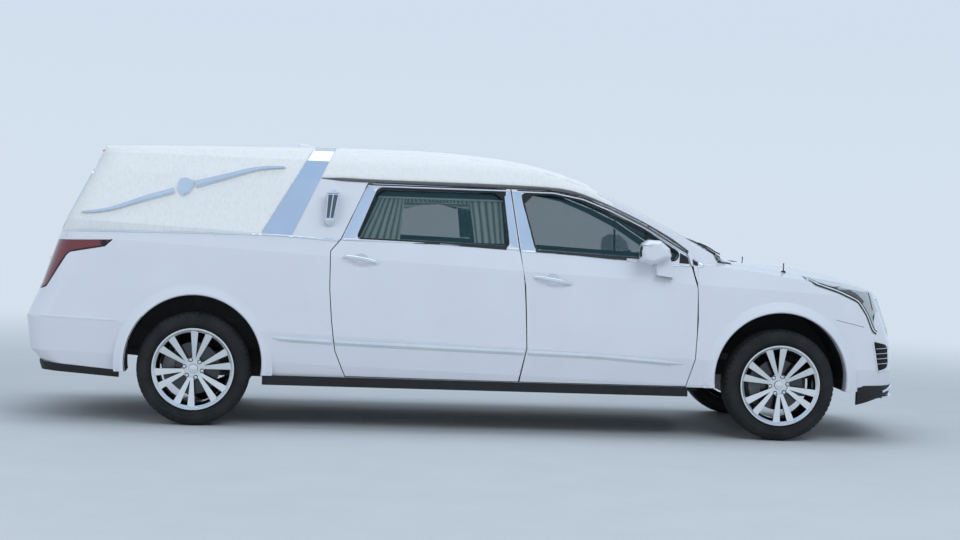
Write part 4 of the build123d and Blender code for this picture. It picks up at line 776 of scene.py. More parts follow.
def add_window_trim(side, find):
    """Black seals round the door windows, bright lines along them, and the pillars' bright covers."""
    for end, window in (("front", FRONT_WINDOW), ("rear", REAR_WINDOW)):
        body, panel = f"{end}_door_{side}", find[f"{end}_panel"]
        window = [Vector((DOOR_POST + x, z)) for x, z in window]
        seal = rounded(grown(window, 0.0055), 0.030, 0.010, closed=True)
        strip(f"window_seal_{end}_{side}", body, panel, seal, 0.0065, 0.003, BLACK, closed=True)
        line, bright = window_lines(end, window)
        strip(f"frame_top_{end}_{side}", body, panel, line, 0.0045, 0.002, BLACK)
        if end == "front":
            wide = grown(window, 0.0425)
            cover = [wide[2] + Vector((0.10, -0.010)), *wide[3:6], Vector((1.418, 1.258))]
            strip(f"frame_cover_{end}_{side}", body, panel, rounded(cover, 0.03, 0.01),
                  lambda t: 0.0115 * min(1, 0.1 + 4 * t), 0.003, SATIN)
        for place, line in bright.items():
            strip(f"window_line_{place}_{end}_{side}", body, panel, rounded(line, 0.020, 0.010), 0.0055, 0.006)
    fender = find["all"]
    plate(f"sail_door_{side}", f"front_door_{side}", find["front_panel"], SAIL_DOOR, 0.002, BLACK)
    plate(f"sail_fender_{side}", "root", fender, SAIL_FENDER, 0.002, BLACK)

    def corner(p):
        slope = Vector((0, SIDES[side], 0.3)).normalized()
        return Vector((p[0], SIDES[side] * (0.8745 + (1.165 - p[1]) * 0.29), p[1])), slope

    plate(f"fender_corner_{side}", "root", corner, FENDER_CORNER, 0.0, PAINT, cell=0.03, edge=0.001)
    strip(f"sail_line_{side}", "root", fender, even(SAIL_LINE[1:], 0.01), 0.0055, 0.006)
    strip(f"sail_foot_{side}", "root", fender, even(SAIL_FOOT[2:], 0.01), 0.0045, 0.004)
    strip(f"vent_post_{side}", f"front_door_{side}", find["front_glass"], even(VENT_POST, 0.01), 0.0075, 0.006,
          BLACK, FLAT)
    for name, (door, corners) in PILLAR_COVERS.items():
        plate(f"pillar_{name}_{door}_{side}", f"{door}_{side}", find[door], [(DOOR_POST + x, z) for x, z in corners],
              0.0028, ("stainless", "chrome"), cell=0.03, edge=0.0025)


def add_roof_edges(side, find):
    strip(f"drip_rail_{side}", "root", find["all"], rounded(DRIP_RAIL, 0.25, 0.015),
          lambda t: (0.012 + 0.006 * clamp(3 * t - 1.7)) * min(1, 0.25 + 14 * min(t, 1 - t)), 0.009, SATIN)
    strip(f"quarter_belt_{side}", "root", find["all"], rounded(QUARTER_BELT, 0.2, 0.015), 0.0075, 0.006)


def add_flares(side, find):
    """Raised lips round the wheel arches, in the body's paint."""
    middle = ARCH_RADIUS + FLARE_HALF + 0.002
    for end, hub in HUBS.items():
        turns = [math.radians(-8 + 196 * k / 96) for k in range(97)]
        path = [Vector((hub.x - middle * math.cos(a), hub.z + ARCH_RISE + middle * math.sin(a))) for a in turns]
        strip(f"arch_flare_{end}_{side}", "root", find["body"], path, FLARE_HALF, 0.009, PAINT, FLARE)


def add_handles(side, find):
    """Bright pull handles, each bowed out from the door between its two feet."""
    for door, (start, stop) in HANDLES.items():
        (first, normal), (last, _) = find[door](start), find[door](stop)
        up = Z - normal * normal.z
        grip = []
        for k in range(33):
            t = k / 32
            out = 0.004 + 0.032 * math.sin(math.pi * clamp(t, 0.02, 0.98)) ** 0.55
            tall = 0.0135 * (0.45 + 0.55 * math.sin(math.pi * t) ** 0.4)
            thick = 0.0075 + 0.001 * math.sin(math.pi * t)
            grip.append(ring(first.lerp(last, t) + normal * out, up * tall, normal * thick))
        runs = [grip]
        for t in (0.035, 0.965):
            at, normal = find[door](Vector(start).lerp(Vector(stop), t))
            runs.append([ring(at + normal * lift, Z * size, X * size * 1.3)
                         for lift, size in ((-0.002, 0.013), (0.004, 0.0125), (0.014, 0.010))])
        lofts(f"handle_{door}_{side}", f"{door}_{side}", runs)


def add_side_lamp_and_vent(side, find):
    body = find["body"]
    plate(f"side_marker_seat_{side}", "root", body, grown(SIDE_MARKER, 0.005), 0.002, BLACK)
    plate(f"side_marker_{side}", "root", body, SIDE_MARKER, 0.006, ("amber", "headlamp"), edge=0.004)
    plate(f"side_vent_{side}", "root", body, SIDE_VENT, 0.002, ("gap", "grille"))
    edge = rounded(grown(SIDE_VENT, 0.001), 0.018, 0.008, closed=True)
    strip(f"side_vent_frame_{side}", "root", body, edge, 0.0055, 0.008, closed=True)
    levels = [0.538 + 0.034 * k for k in range(4)]
    bars = [even([Vector((2.728, z - 0.002)), Vector((2.842, z))], 0.01) for z in levels]
    lofts(f"side_vent_bars_{side}", "root", [strip_rings(body, path, 0.0035, profile(ROUND, 0.010)) for path in bars],
          ("chrome", "grille"))


# Lantern on the roof's side, as in the model: middle (x from the post, z), lean, and the stations
# of its glass as (place up the axis, width, depth)
LAMP_MIDDLE, LAMP_LEAN, LAMP_SEAT, LAMP_RIB = (-1.291, 1.461), 0.11, 0.008, 0.005
LAMP_GLASS = ((-0.087, 0.057, 0.041), (0.084, 0.075, 0.054))
BELT_SKIN, BELT_Z, SIDE_LEAN = 0.884, 1.255, 0.36


def lamp_point(side, along, across, out):
    lean = math.atan(SIDE_LEAN)
    y = BELT_SKIN - (LAMP_MIDDLE[1] - BELT_Z) * SIDE_LEAN
    y, z = y - along * math.sin(lean) + out * math.cos(lean), along * math.cos(lean) + out * math.sin(lean)
    return Vector((DOOR_POST + LAMP_MIDDLE[0] + along * LAMP_LEAN + across, SIDES[side] * y, LAMP_MIDDLE[1] + z))


def add_lantern_glass(side):
    """Dark panes between the lantern's ribs and on its sides."""
    lift, inset = 0.0008, 0.006
    (low, *low_size), (high, *high_size) = LAMP_GLASS
    stations = ((low + inset, *low_size), (high - inset, *high_size))
    panes = []
    for a, b in ((-0.5, 0.0), (0.0, 0.5)):
        panes.append([((along, a * wide + LAMP_RIB * (1.2 if a else 0.7), LAMP_SEAT + deep + lift),
                       (along, b * wide - LAMP_RIB * (1.2 if b else 0.7), LAMP_SEAT + deep + lift))
                      for along, wide, deep in stations])
    for end in (-1, 1):
        panes.append([((along, end * (wide / 2 + lift), LAMP_SEAT + inset),
                       (along, end * (wide / 2 + lift), LAMP_SEAT + deep - inset))
                      for along, wide, deep in stations])
    bm = bmesh.new()
    for lower, upper in panes:
        bm.faces.new([bm.verts.new(lamp_point(side, *p)) for p in (*lower, *upper[::-1])])
    bmesh.ops.solidify(bm, geom=bm.faces[:], thickness=0.0006)
    name = f"lantern_glass_{side}"
    new_piece(name, "root", to_mesh(name, bm), ("lamp_glass", "glass"))


def band_line(edge, z):
    foot, top = BAND_EDGES[edge]
    return DOOR_POST + foot + (top - foot) * (z - BAND_FOOT) / BAND_RISE


ROOF_AXIS_Z = 1.20
BEAD_START = math.radians(6.5)
BEAD_SIZE, BEAD_PITCH, BEAD_SKEW = (0.0078, 0.0036, 0.0042), 0.0085, 0.45


def roof_hit(skin, x, turn):
    """The roof's skin at a station, seen from the cabin's axis at an angle from the right."""
    heading = Vector((0, -math.cos(turn), math.sin(turn)))
    return skin.ray(Vector((x, 0, ROOF_AXIS_Z)) + heading * 2, -heading)


def add_band_bead(skin):
    """Ribbed bead along the roof band's rear edge, over the roof from belt to belt."""
    path = []
    for k in range(181):
        turn = BEAD_START + (math.pi - 2 * BEAD_START) * k / 180
        x = band_line("rear", 1.6)
        for _ in range(5):
            hit = roof_hit(skin, x - 0.004, turn)
            x = band_line("rear", hit[0].z)
        path.append(hit)
    bm = bmesh.new()
    along, place = 0.0, 0.0
    for (a, normal), (b, _) in zip(path, path[1:]):
        step = (b - a).length
        while place <= along + step:
            tangent = (b - a).normalized()
            skew = (normal.cross(tangent) + tangent * BEAD_SKEW).normalized()
            turn = Matrix((skew, normal.cross(skew), normal)).transposed().to_4x4()
            at = Matrix.Translation(a.lerp(b, (place - along) / step) + normal * 0.001)
            bmesh.ops.create_uvsphere(bm, u_segments=8, v_segments=5, radius=1,
                                      matrix=at @ turn @ Matrix.Diagonal((*BEAD_SIZE, 1)))
            place += BEAD_PITCH
        along += step
    new_piece("band_bead", "root", to_mesh("band_bead", bm), sharp=80)


VINYL_FRONT, VINYL_CORNER = 0.788, 0.130
VINYL_LIFT = (0.0, 0.0028, 0.0036)      # at its edge, one step in, and further in


def add_front_vinyl(skin):
    """Grained cover over the front roof, from the band to the windscreen, with rolled edges."""
    edge = [0, 0.004, 0.012]
    spread = edge + [0.03 + 0.94 * k / 56 for k in range(57)] + [1 - e for e in reversed(edge)]
    rail = even(rounded(DRIP_RAIL, 0.25, 0.01), 0.01)
    last = len(spread) - 1

    def rail_turn(x):
        at, _ = skin.beside((x, min(rail, key=lambda p: abs(p.x - x)).y + 0.012), -1)
        return math.atan2(at.z - ROOF_AXIS_Z, -at.y)

    over, under = [], []
    for i, u in enumerate(spread):
        over.append([])
        under.append([])
        for j, v in enumerate(spread):
            z, y = 1.8, 0.0
            for _ in range(6):
                rear = band_line("front", z) + 0.003
                front = VINYL_FRONT + VINYL_CORNER * clamp((abs(y) - 0.645) / 0.05)
                x = rear + (front - rear) * u
                begin = rail_turn(x)
                at, normal = roof_hit(skin, x, begin + (math.pi - 2 * begin) * v)
                y, z = at.y, at.z
            over[-1].append(at + normal * VINYL_LIFT[min(i, j, last - i, last - j, 2)])
            under[-1].append(at - normal * 0.001)
    bm = bmesh.new()
    rims = []
    for rows in (over, under):
        g = grid_faces(bm, rows)
        rims.append(g[0] + [row[-1] for row in g[1:]] + g[-1][-2::-1] + [row[0] for row in g[-2:0:-1]])
    for k in range(len(rims[0])):
        j = (k + 1) % len(rims[0])
        bm.faces.new((rims[0][k], rims[0][j], rims[1][j], rims[1][k]))
    new_piece("front_vinyl", "root", to_mesh("front_vinyl", bm), ("vinyl", "vinyl"), sharp=60)


def add_fin():
    """Small painted fin on the roof behind the band."""
    rings = []
    for x, z in FIN:
        half = 0.022 * min(1, 0.35 + (x + 1.236) * 22, (-1.075 - x) * 14)
        rings.append([Vector((x, half * math.cos(a), FIN_FOOT + (z - FIN_FOOT) * max(math.sin(a), 0) ** 0.7))
                      for a in (math.pi * j / 12 for j in range(13))])
    lofts("roof_fin", "root", [rings], PAINT, levels=1)


# Half of the tyre's section from the bead to the tread's middle: (radius, distance from the middle)
TYRE_WALL = ((0.2545, 0.0950), (0.2620, 0.0985), (0.2700, 0.1035), (0.2735, 0.1045), (0.2760, 0.1020),
             (0.2850, 0.1085), (0.2980, 0.1140), (0.3000, 0.1160), (0.3030, 0.1160), (0.3050, 0.1145),
             (0.3180, 0.1165), (0.3240, 0.1168), (0.3260, 0.1174), (0.3290, 0.1174), (0.3310, 0.1164),
             (0.3400, 0.1145), (0.3450, 0.1125), (0.3470, 0.1130), (0.3500, 0.1110), (0.3580, 0.1040))
TREAD = ((0.3655, 0.0990), (0.3700, 0.0900), (0.3727, 0.0770), (0.3735, 0.0660), (0.3660, 0.0640),
         (0.3660, 0.0560), (0.3740, 0.0540), (0.3745, 0.0300), (0.3665, 0.0280), (0.3665, 0.0200),
         (0.3750, 0.0180), (0.3750, 0.0000))
PITCHES, PITCH_STEPS = 64, 6
BLOCK_CUT, SIPE_CUT = 0.006, 0.004


def add_tyre(end, side, hub):
    """Road tyre with rings on its side walls, four grooves and cut shoulder blocks."""
    half = TYRE_WALL + TREAD
    section = half + tuple((r, -y) for r, y in half[-2::-1])
    shoulder = len(TYRE_WALL)
    rings = []
    for k, turn in enumerate(circle(PITCHES * PITCH_STEPS)):
        rings.append([])
        for i, (r, y) in enumerate(section):
            from_edge = min(i, len(section) - 1 - i)
            phase = (k + (3 if i > len(section) / 2 else 0)) % PITCH_STEPS
            if from_edge in range(shoulder, shoulder + 4) and phase == 0:
                r -= BLOCK_CUT
            if from_edge in (shoulder + 6, shoulder + 7) and (k + from_edge * 2) % PITCH_STEPS == 1:
                r -= SIPE_CUT
            rings[-1].append(hub + Vector((r * math.sin(turn), SIDES[side] * y, r * math.cos(turn))))
    tyre = lofts(f"tread_tyre_{end}_{side}", f"wheel_{end}_{side}", [rings], ("tyre", "tyre"), closed=True, sharp=35)
    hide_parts(f"tyre_{end}_{side}")


LUGS, LUG_CIRCLE, HUB_FACE = 6, 0.060, 0.066
WHEEL_TURN = {"front": 7.7, "rear": -12.5}
LUG_CUP = ((0.0150, -0.0115), (0.0150, 0.0006), (0.0132, 0.0010), (0.0126, -0.0112))
LUG_NUT = ((0.0108, -0.012), (0.0108, -0.001), (0.0098, 0.001), (0.0086, 0.0012), (0.0080, 0.0045),
           (0.0045, 0.0062), (0.001, 0.0064))


def add_lugs(end, side, hub):
    """Black cups with bright nuts."""
    out = Y * SIDES[side]
    places = []
    for turn in circle(LUGS):
        turn += math.radians(WHEEL_TURN[end])
        places.append(hub + Vector((LUG_CIRCLE * math.cos(turn), SIDES[side] * HUB_FACE,
                                    LUG_CIRCLE * math.sin(turn))))
    for name, stations, count, look in (("cups", LUG_CUP, 24, ("gap", "underbody")), ("nuts", LUG_NUT, 12, CHROME)):
        lofts(f"lug_{name}_{end}_{side}", f"wheel_{end}_{side}",
              [turned(at, out, X, Z, stations, count) for at in places], look)


# Curtains inside the rear doors: corners as (x from the post, z), number of folds, and flat size
DRAPES = {
    "rear": ((-1.104, 1.266), (-0.972, 1.547), (-0.803, 1.547), (-0.830, 1.266), 6, (0.290, 0.282)),
    "front": ((-0.329, 1.266), (-0.366, 1.547), (-0.150, 1.547), (-0.127, 1.266), 5, (0.262, 0.283)),
}
DRAPE_ROWS, FOLD_COLUMNS, VALANCE_ROWS = 22, 14, 18
VALANCE = ((-0.803, 1.477), (-0.701, 1.505), (-0.585, 1.517), (-0.470, 1.505), (-0.366, 1.477))
VALANCE_TOP, VALANCE_FLAT, VALANCE_AREA = 1.547, (0.53, 0.072), 0.0245
HEADER = ((-0.985, 1.545), (-0.972, 1.600), (-0.130, 1.600), (-0.130, 1.545))
HEADING = ((-0.982, 1.546), (-0.978, 1.558), (-0.131, 1.558), (-0.131, 1.546))
CURTAIN_TOP = 1.545


def cloth_piece(name, side, grid):
    """A thin cloth on a grid of (point, depth of the fold from 0 to 1)."""
    bm = bmesh.new()
    # Each vertex keeps its fold depth as an attribute, which the cloth material turns into painted shade.
    layer = bm.verts.layers.float.new("fold_shade")
    for verts, row in zip(grid_faces(bm, [[point for point, _ in row] for row in grid]), grid):
        for vert, (_, fold_shade) in zip(verts, row):
            vert[layer] = fold_shade
    cloth = new_piece(name, f"rear_door_{side}", to_mesh(name, bm), ("curtain", "curtain"), sharp=180)
    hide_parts(f"curtains_{side}")


def add_curtains(side):
    """Two gathered drapes with a ruffled valance between them, under a covered header board."""
    sign = SIDES[side]
    skin = Skin(f"curtains_{side}")

    def place(x, z, deep):
        at, _ = skin.beside((DOOR_POST + x, min(z, CURTAIN_TOP)), sign)
        y = at.y * sign - deep - max(z - CURTAIN_TOP, 0) * SIDE_LEAN
        return Vector((DOOR_POST + x, y * sign, z))

    for name, outline, near, far, finish in (("header", HEADER, 0.001, 0.012, "header"),
                                             ("heading", HEADING, -0.001, 0.004, "curtain")):
        lofts(f"curtain_{name}_{side}", f"rear_door_{side}",
              [[[place(x, z, deep) for x, z in outline] for deep in (near, far)]], (finish, "curtain"), bevel=0.002)
    for end, (low_a, high_a, high_b, low_b, folds, flat) in DRAPES.items():
        grid, columns = [], folds * FOLD_COLUMNS
        for j in range(DRAPE_ROWS + 1):
            v = j / DRAPE_ROWS
            left, right = Vector(low_a).lerp(Vector(high_a), v), Vector(low_b).lerp(Vector(high_b), v)
            grid.append([])
            for i in range(columns + 1):
                u = i / columns
                wander = 0.010 * math.sin(4.1 * v + 9 * u) * (1 - v)
                phase = 2 * math.pi * folds * (u + wander) + 0.6 * math.sin(7 * u)
                at = left.lerp(right, u)
                swing = (0.0088 - 0.0042 * v) * (0.85 + 0.15 * math.sin(23 * u))
                deep = 0.0135 - swing * (math.cos(phase) + 0.22 * math.cos(2 * phase + 0.5)) / 1.22
                across = 0.16 * (right.x - left.x) / folds * math.sin(phase)
                # The second value is the fold depth, painted on the cloth as shade.
                grid[-1].append((place(clamp(at.x + across, left.x, right.x), at.y, deep),
                                 0.5 - 0.5 * math.cos(phase)))
        cloth_piece(f"curtain_{end}_{side}", side, grid)
    line, grid = even(VALANCE, 0.0025), []
    for j in range(VALANCE_ROWS + 1):
        v = j / VALANCE_ROWS
        share = clamp((v - 0.35) / 0.2)
        grid.append([])
        for i, low in enumerate(line):
            u = i / (len(line) - 1)
            ruffle = 0.0030 * math.sin(2 * math.pi * (17 * u + 0.35 * math.sin(9 * u + 3 * v)))
            swag = 0.0034 * math.sin(2 * math.pi * (2.2 * v + 2.4 * abs(u - 0.5)))
            lift = ruffle * (1 - share) + swag * share
            z = VALANCE_TOP + (low.y - VALANCE_TOP) * v
            # The second value is the fold depth, painted on the cloth as shade.
            grid[-1].append((place(low.x, z, 0.010 + lift), 0.45 + 120 * lift))
    cloth_piece(f"curtain_valance_{side}", side, grid)


# Front seats, in the space of the model's own: middle (x, z), half sizes, tilt in degrees, and crown
SEAT_Y = 0.385
PADS = {
    "cushion": ((0.574, 0.503), (0.262, 0.252, 0.066), -3.5, 0.012),
    "back": ((0.203, 0.800), (0.318, 0.248, 0.062), 104.5, 0.010),
    "headrest": ((0.085, 1.231), (0.088, 0.128, 0.043), 104.0, 0.006),
}
PLINTH = ((0.300, 0.432), (0.322, 0.378), (0.800, 0.378), (0.832, 0.432), (0.800, 0.448), (0.320, 0.440))
HEADREST_POST = ((0.122, 1.085), (0.106, 1.165))
PAD_POWER, BOLSTER_FROM = 6.0, 0.58
CHANNEL_DEPTH, CHANNEL_WIDTH = 0.0055, 0.020


def pad_mesh(name, half, crown, bolsters):
    """A crowned closed pad whose sides draw in between its corners, with sewn channels and side bolsters."""
    bm = bmesh.new()
    bmesh.ops.create_cube(bm, size=2)
    bmesh.ops.subdivide_edges(bm, edges=bm.edges[:], cuts=11, use_grid_fill=True)
    channels = [(1, -BOLSTER_FROM), (1, BOLSTER_FROM), (0, -0.45), (0, 0.0), (0, 0.45)] if bolsters else [(1, 0.0)]
    for axis, place in channels:
        for step in (-0.036, -0.014, 0, 0.014, 0.036):
            slice_mesh(bm, axis, place + step)
    for v in bm.verts:
        p = v.co.copy()
        q = p / sum(abs(c) ** PAD_POWER for c in p) ** (1 / PAD_POWER)
        rise = 0.0
        if p.z > 0.2:
            flat = (1 - q.x ** 2) * (1 - q.y ** 2)
            rise = crown * flat
            for axis, place in channels:
                if axis == 1 or abs(p.y) < BOLSTER_FROM:
                    depth = math.exp(-((p[axis] - place) / CHANNEL_WIDTH) ** 2)
                    rise -= CHANNEL_DEPTH * depth * min(flat * 6, 1)
            if bolsters:
                rise += 0.016 * clamp((abs(p.y) - BOLSTER_FROM) / 0.25) * min(flat * 3, 1)
        q.x *= 1 - 0.025 * (1 - p.y ** 2)
        q.y *= 1 - 0.030 * (1 - p.x ** 2)
        seam = 0.0025 * math.exp(-((p.z - 0.35) / 0.10) ** 2) if max(abs(p.x), abs(p.y)) > 0.97 else 0
        v.co = Vector((q.x * (half[0] - seam), q.y * (half[1] - seam), q.z * half[2] + rise))
    return to_mesh(name, bm)


def add_seats():
    """Leather front seats: crowned cushion, back and headrest, on a plinth."""
    for side, sign in SIDES.items():
        middle = Y * sign * SEAT_Y
        pieces = []
        for part, ((x, z), half, tilt, crown) in PADS.items():
            name = f"seat_{part}_{side}"
            mesh = pad_mesh(name, half, crown, part != "headrest")
            turn = Matrix.Rotation(math.radians(-tilt), 4, "Y")
            if tilt > 45:
                turn = turn @ Matrix.Rotation(math.pi, 4, "Z")
            mesh.transform(Matrix.Translation(middle + Vector((x, 0, z))) @ turn)
            pad = new_piece(name, "root", mesh, ("seat", "seat"), sharp=180, levels=1)
            pieces.append(pad)
        plinth = [[middle + Vector((x, y, z)) for x, z in PLINTH] for y in (-0.205, 0.205)]
        pieces.append(lofts(f"seat_plinth_{side}", "root", [plinth], ("dash", "seat"), bevel=0.008))
        posts = [[ring(middle + Vector((x, y, z)), X * 0.006, Y * 0.006, 12) for x, z in HEADREST_POST]
                 for y in (-0.055, 0.055)]
        pieces.append(lofts(f"seat_posts_{side}", "root", posts, ("chrome", "seat")))
        for piece in pieces:
            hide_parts("front_seats")


SWEEP_Z = 0.415
NOSE_CENTRE, TAIL_CENTRE = 2.35, -2.05


def swept(name, skin, centre, reach, section, look=CHROME, side_limit=9.0):
    """A strip swept round the nose or tail: section gives (outwards, z) points for a place on the skin."""
    middle = Vector((centre, 0, SWEEP_Z))
    path = []
    for angle in range(-abs(reach), abs(reach) + 1, 2):
        turn, ahead = math.radians(angle), math.copysign(1, reach)
        heading = Vector((ahead * math.cos(turn), math.sin(turn), 0))
        hit = skin.ray(middle + heading * 2, -heading)
        if hit and hit[0].x * ahead >= centre * ahead:
            hit[0].y = clamp(hit[0].y, -side_limit, side_limit)
            path.append(hit[0])
    rings = []
    for i, at in enumerate(path):
        along = heading_at(path, i).normalized()
        away = Vector((along.y, -along.x, 0))
        away *= 1 if away.dot(at - middle) > 0 else -1
        rings.append([Vector((at.x, at.y, 0)) + away * o + Z * up for o, up in section(at)])
    lofts(name, "root", [rings], look)


def add_skirts():
    """Black lip under the front bumper with two bright accents, and the black valance under the rear one."""
    nose, tail = Skin("front_bumper", "grille"), Skin("rear_bumper")

    def lip(at):
        low = 0.245 + 0.055 * clamp((at.x - 2.58) / 0.20)
        return ((-0.012, 0.389), (0.003, 0.387), (0.004, 0.372), (-0.006, low + 0.030), (-0.022, low),
                (-0.045, low + 0.002), (-0.040, 0.387))

    def valance(at):
        share = clamp((-2.294 - at.x) / 0.533)
        top, low = 0.345 + 0.045 * share, 0.297 + 0.038 * share
        return ((-0.005, top), (-0.006, top - 0.012), (-0.020, low), (-0.040, low + 0.003), (-0.040, top))

    def accent(base, tall, out, rise):
        def section(at):
            z = base + rise * clamp((at.x - 2.80) / 0.08)
            return ((out - 0.012, z + tall), (out, z + tall * 0.7), (out + 0.003, z), (out, z - tall * 0.7),
                    (out - 0.012, z - tall))
        return section

    swept("front_lip", nose, NOSE_CENTRE, 74, lip, BLACK, side_limit=0.892)
    swept("front_accent_upper", nose, NOSE_CENTRE, 62, accent(0.345, 0.011, 0.008, 0.030))
    swept("front_accent_lower", nose, NOSE_CENTRE, 62, accent(0.306, 0.007, 0.002, 0.0))
    swept("rear_valance", tail, TAIL_CENTRE, -72, valance, BLACK, side_limit=0.868)


TAIL_LAMP_EDGE = ((-2.414, 1.209), (-2.461, 1.167), (-2.690, 1.124), (-2.735, 1.070), (-2.834, 0.896),
                  (-2.868, 0.879))
TAIL_LAMP_TIP = ((-2.412, 1.210), (-2.500, 1.207), (-2.478, 1.163), (-2.458, 1.166))
HEADLAMP_EDGE = ((2.236, 1.107), (2.293, 1.058), (2.449, 1.011), (2.598, 0.947), (2.660, 0.861), (2.704, 0.752),
                 (2.736, 0.734))
HEADLAMP_BAND = ((2.345, 1.071), (2.430, 1.062), (2.520, 1.044), (2.600, 1.003), (2.652, 0.955), (2.640, 0.930),
                 (2.580, 0.968), (2.500, 1.003), (2.420, 1.032))
HEADLAMP_POST = ((2.700, 1.020), (2.722, 0.895))
# Lines along the headlamp's edge, as (distance inside it, half width, finish)
HEADLAMP_LINES = {"edge": (0.005, 0.0052, "trim_black"), "strip": (0.0145, 0.0042, "led"),
                  "inner": (0.0225, 0.0034, "trim_black")}
BUMPER_SEAM = ((2.442, 0.828), (2.640, 0.784))
REAR_CREASE = ((-2.900, 0.703), (-2.345, 0.682))


def add_lamp_details(side, find):
    skin = find["body"]

    def inset(points, amount):
        path = rounded(points, 0.03, 0.012)
        ways = [heading_at(path, i).normalized() for i in range(len(path))]
        return [here + Vector((-along.y, along.x)) * amount for here, along in zip(path, ways)]

    strip(f"tail_lamp_edge_{side}", "root", skin, inset(TAIL_LAMP_EDGE, -0.004), 0.0045, 0.003,
          ("trim_black", "tail_lamp"))
    plate(f"tail_lamp_tip_{side}", "root", skin, TAIL_LAMP_TIP, 0.002, ("trim_black", "tail_lamp"))
    for name, (deep, half, finish) in HEADLAMP_LINES.items():
        strip(f"headlamp_{name}_{side}", "root", skin, inset(HEADLAMP_EDGE, deep), half, 0.003, (finish, "headlamp"))
    plate(f"headlamp_band_{side}", "root", skin, HEADLAMP_BAND, 0.0015, ("lamp_inner", "headlamp"))
    strip(f"headlamp_post_{side}", "root", skin, even(HEADLAMP_POST, 0.01), 0.0035, 0.003,
          ("trim_black", "headlamp"))
    strip(f"bumper_seam_{side}", "root", skin, even(BUMPER_SEAM, 0.012), 0.0014, 0.0005, ("gap", "underbody"), FLAT)
    strip(f"rear_crease_{side}", "root", skin, even(REAR_CREASE, 0.015),
          lambda t: 0.009 * min(1, 0.15 + 9 * min(t, 1 - t)), 0.004, PAINT)


GLASS_MIDDLE = Vector((0.0, 1.48))
REFLECTOR = ((0.52, 0.470), (0.52, 0.495), (0.70, 0.495), (0.70, 0.470))
TOP_LAMP = ((-0.22, 1.802), (0.22, 1.802))


def glass_edge(door, glass):
    """The load door's window in the rear view: where the glass shows, out from its middle."""
    corners = []
    for turn in range(0, 360, 3):
        heading = Vector((math.cos(math.radians(turn)), math.sin(math.radians(turn))))
        near, far = 0.0, 1.2
        for _ in range(16):
            middle = (near + far) / 2
            hit, seen = (skin.behind(GLASS_MIDDLE + heading * middle) for skin in (door, glass))
            inside = seen and (hit is None or hit[0].x > seen[0].x)
            near, far = (middle, far) if inside else (near, middle)
        corners.append(GLASS_MIDDLE + heading * near)
    return even(corners, 0.012, closed=True)


def add_tail_details():
    """Window seal and bright line, pull bar, top lamp and reflectors."""
    door, glass = Skin("load_door"), Skin("load_door_glass")
    edge = glass_edge(door, glass)

    def near_door(p):
        return door.behind(p) or glass.behind(p)

    strip("load_window_seal", "load_door", near_door, grown(edge, 0.008), 0.007, 0.003, BLACK, closed=True)
    strip("load_window_line", "load_door", near_door, grown(edge, 0.0195), 0.005, 0.005, closed=True)
    rings = []
    for k in range(41):
        t = k / 40
        at, normal = door.behind((-0.26 + 0.52 * t, 1.048))
        out = 0.004 + 0.020 * math.sin(math.pi * t) ** 0.25
        rings.append(ring(at + normal * out, normal * 0.006, Z * 0.011, 12))
    lofts("load_door_bar", "load_door", [rings])
    strip("top_lamp", "root", Skin("vinyl_top").behind, even(TOP_LAMP, 0.02), 0.0085, 0.010,
          ("reflector", "tail_lamp"))
    bumper = Skin("rear_bumper")
    for side, sign in SIDES.items():
        plate(f"reflector_{side}", "root", bumper.behind, [(sign * y, z) for y, z in REFLECTOR], 0.004,
              ("reflector", "tail_lamp"), edge=0.003)


GRILLE_EDGE = ((-0.420, 0.955), (-0.455, 0.760), (-0.350, 0.560), (0.350, 0.560), (0.455, 0.760), (0.420, 0.955))
GRILLE_MIDDLE = 0.760                   # height at which the grille is widest
BARS, LOWEST_BAR, BAR_PITCH = 6, 0.618, 0.056


def add_nose_details():
    """Bright surround and bars of the grille."""
    edge = rounded(grown(GRILLE_EDGE, 0.010), 0.03, 0.012, closed=True)
    strip("grille_surround", "root", Skin("front_bumper", "grille", "hood").ahead, edge, 0.011, 0.012, closed=True)
    front = Skin("grille")

    def face(p):
        hit = front.ahead(p)
        x = 2.957 - (p[1] - 0.62) * 0.30 - 0.16 * p[0] ** 2 if hit is None or hit[0].x < 2.7 else hit[0].x
        return Vector((x, p[0], p[1])), Vector((1, 0, 0.25)).normalized()

    bars = []
    for k in range(BARS):
        z = LOWEST_BAR + BAR_PITCH * k
        half = 0.425 - 0.105 * max(GRILLE_MIDDLE - z, 0) / 0.200 - 0.035 * max(z - GRILLE_MIDDLE, 0) / 0.195
        path = even([Vector((-half, z)), Vector((half, z))], 0.03)
        bars.append(strip_rings(face, path, 0.006, profile(ROUND, 0.010)))
    lofts("grille_bars", "root", bars, ("chrome", "grille"))


COWL_FRONT, COWL_BACK, COWL_HALF, COWL_STEP = 2.02, 1.50, 0.66, 0.004


def cowl_row(skin, y):
    """Three points over the open step at y, from the hood's edge back to the cowl, or None where it is shut."""
    heights, x = [], COWL_FRONT
    while x > COWL_BACK:
        hit = skin.above((x, y))
        heights.append((x, hit[0].z if hit else 0))
        x -= COWL_STEP
    open_run = [i for i, (x, z) in enumerate(heights) if z < heights[0][1] - 0.5 or z < 1.0]
    if len(open_run) < 3:
        return None
    before, after = heights[max(open_run[0] - 1, 0)], heights[min(open_run[-1] + 1, len(heights) - 1)]
    return [Vector((before[0] - 0.006, y, before[1] - 0.012)),
            Vector(((before[0] + after[0]) / 2, y, (before[1] + after[1]) / 2 - 0.016)),
            Vector((after[0] + 0.002, y, after[1] - 0.006))]


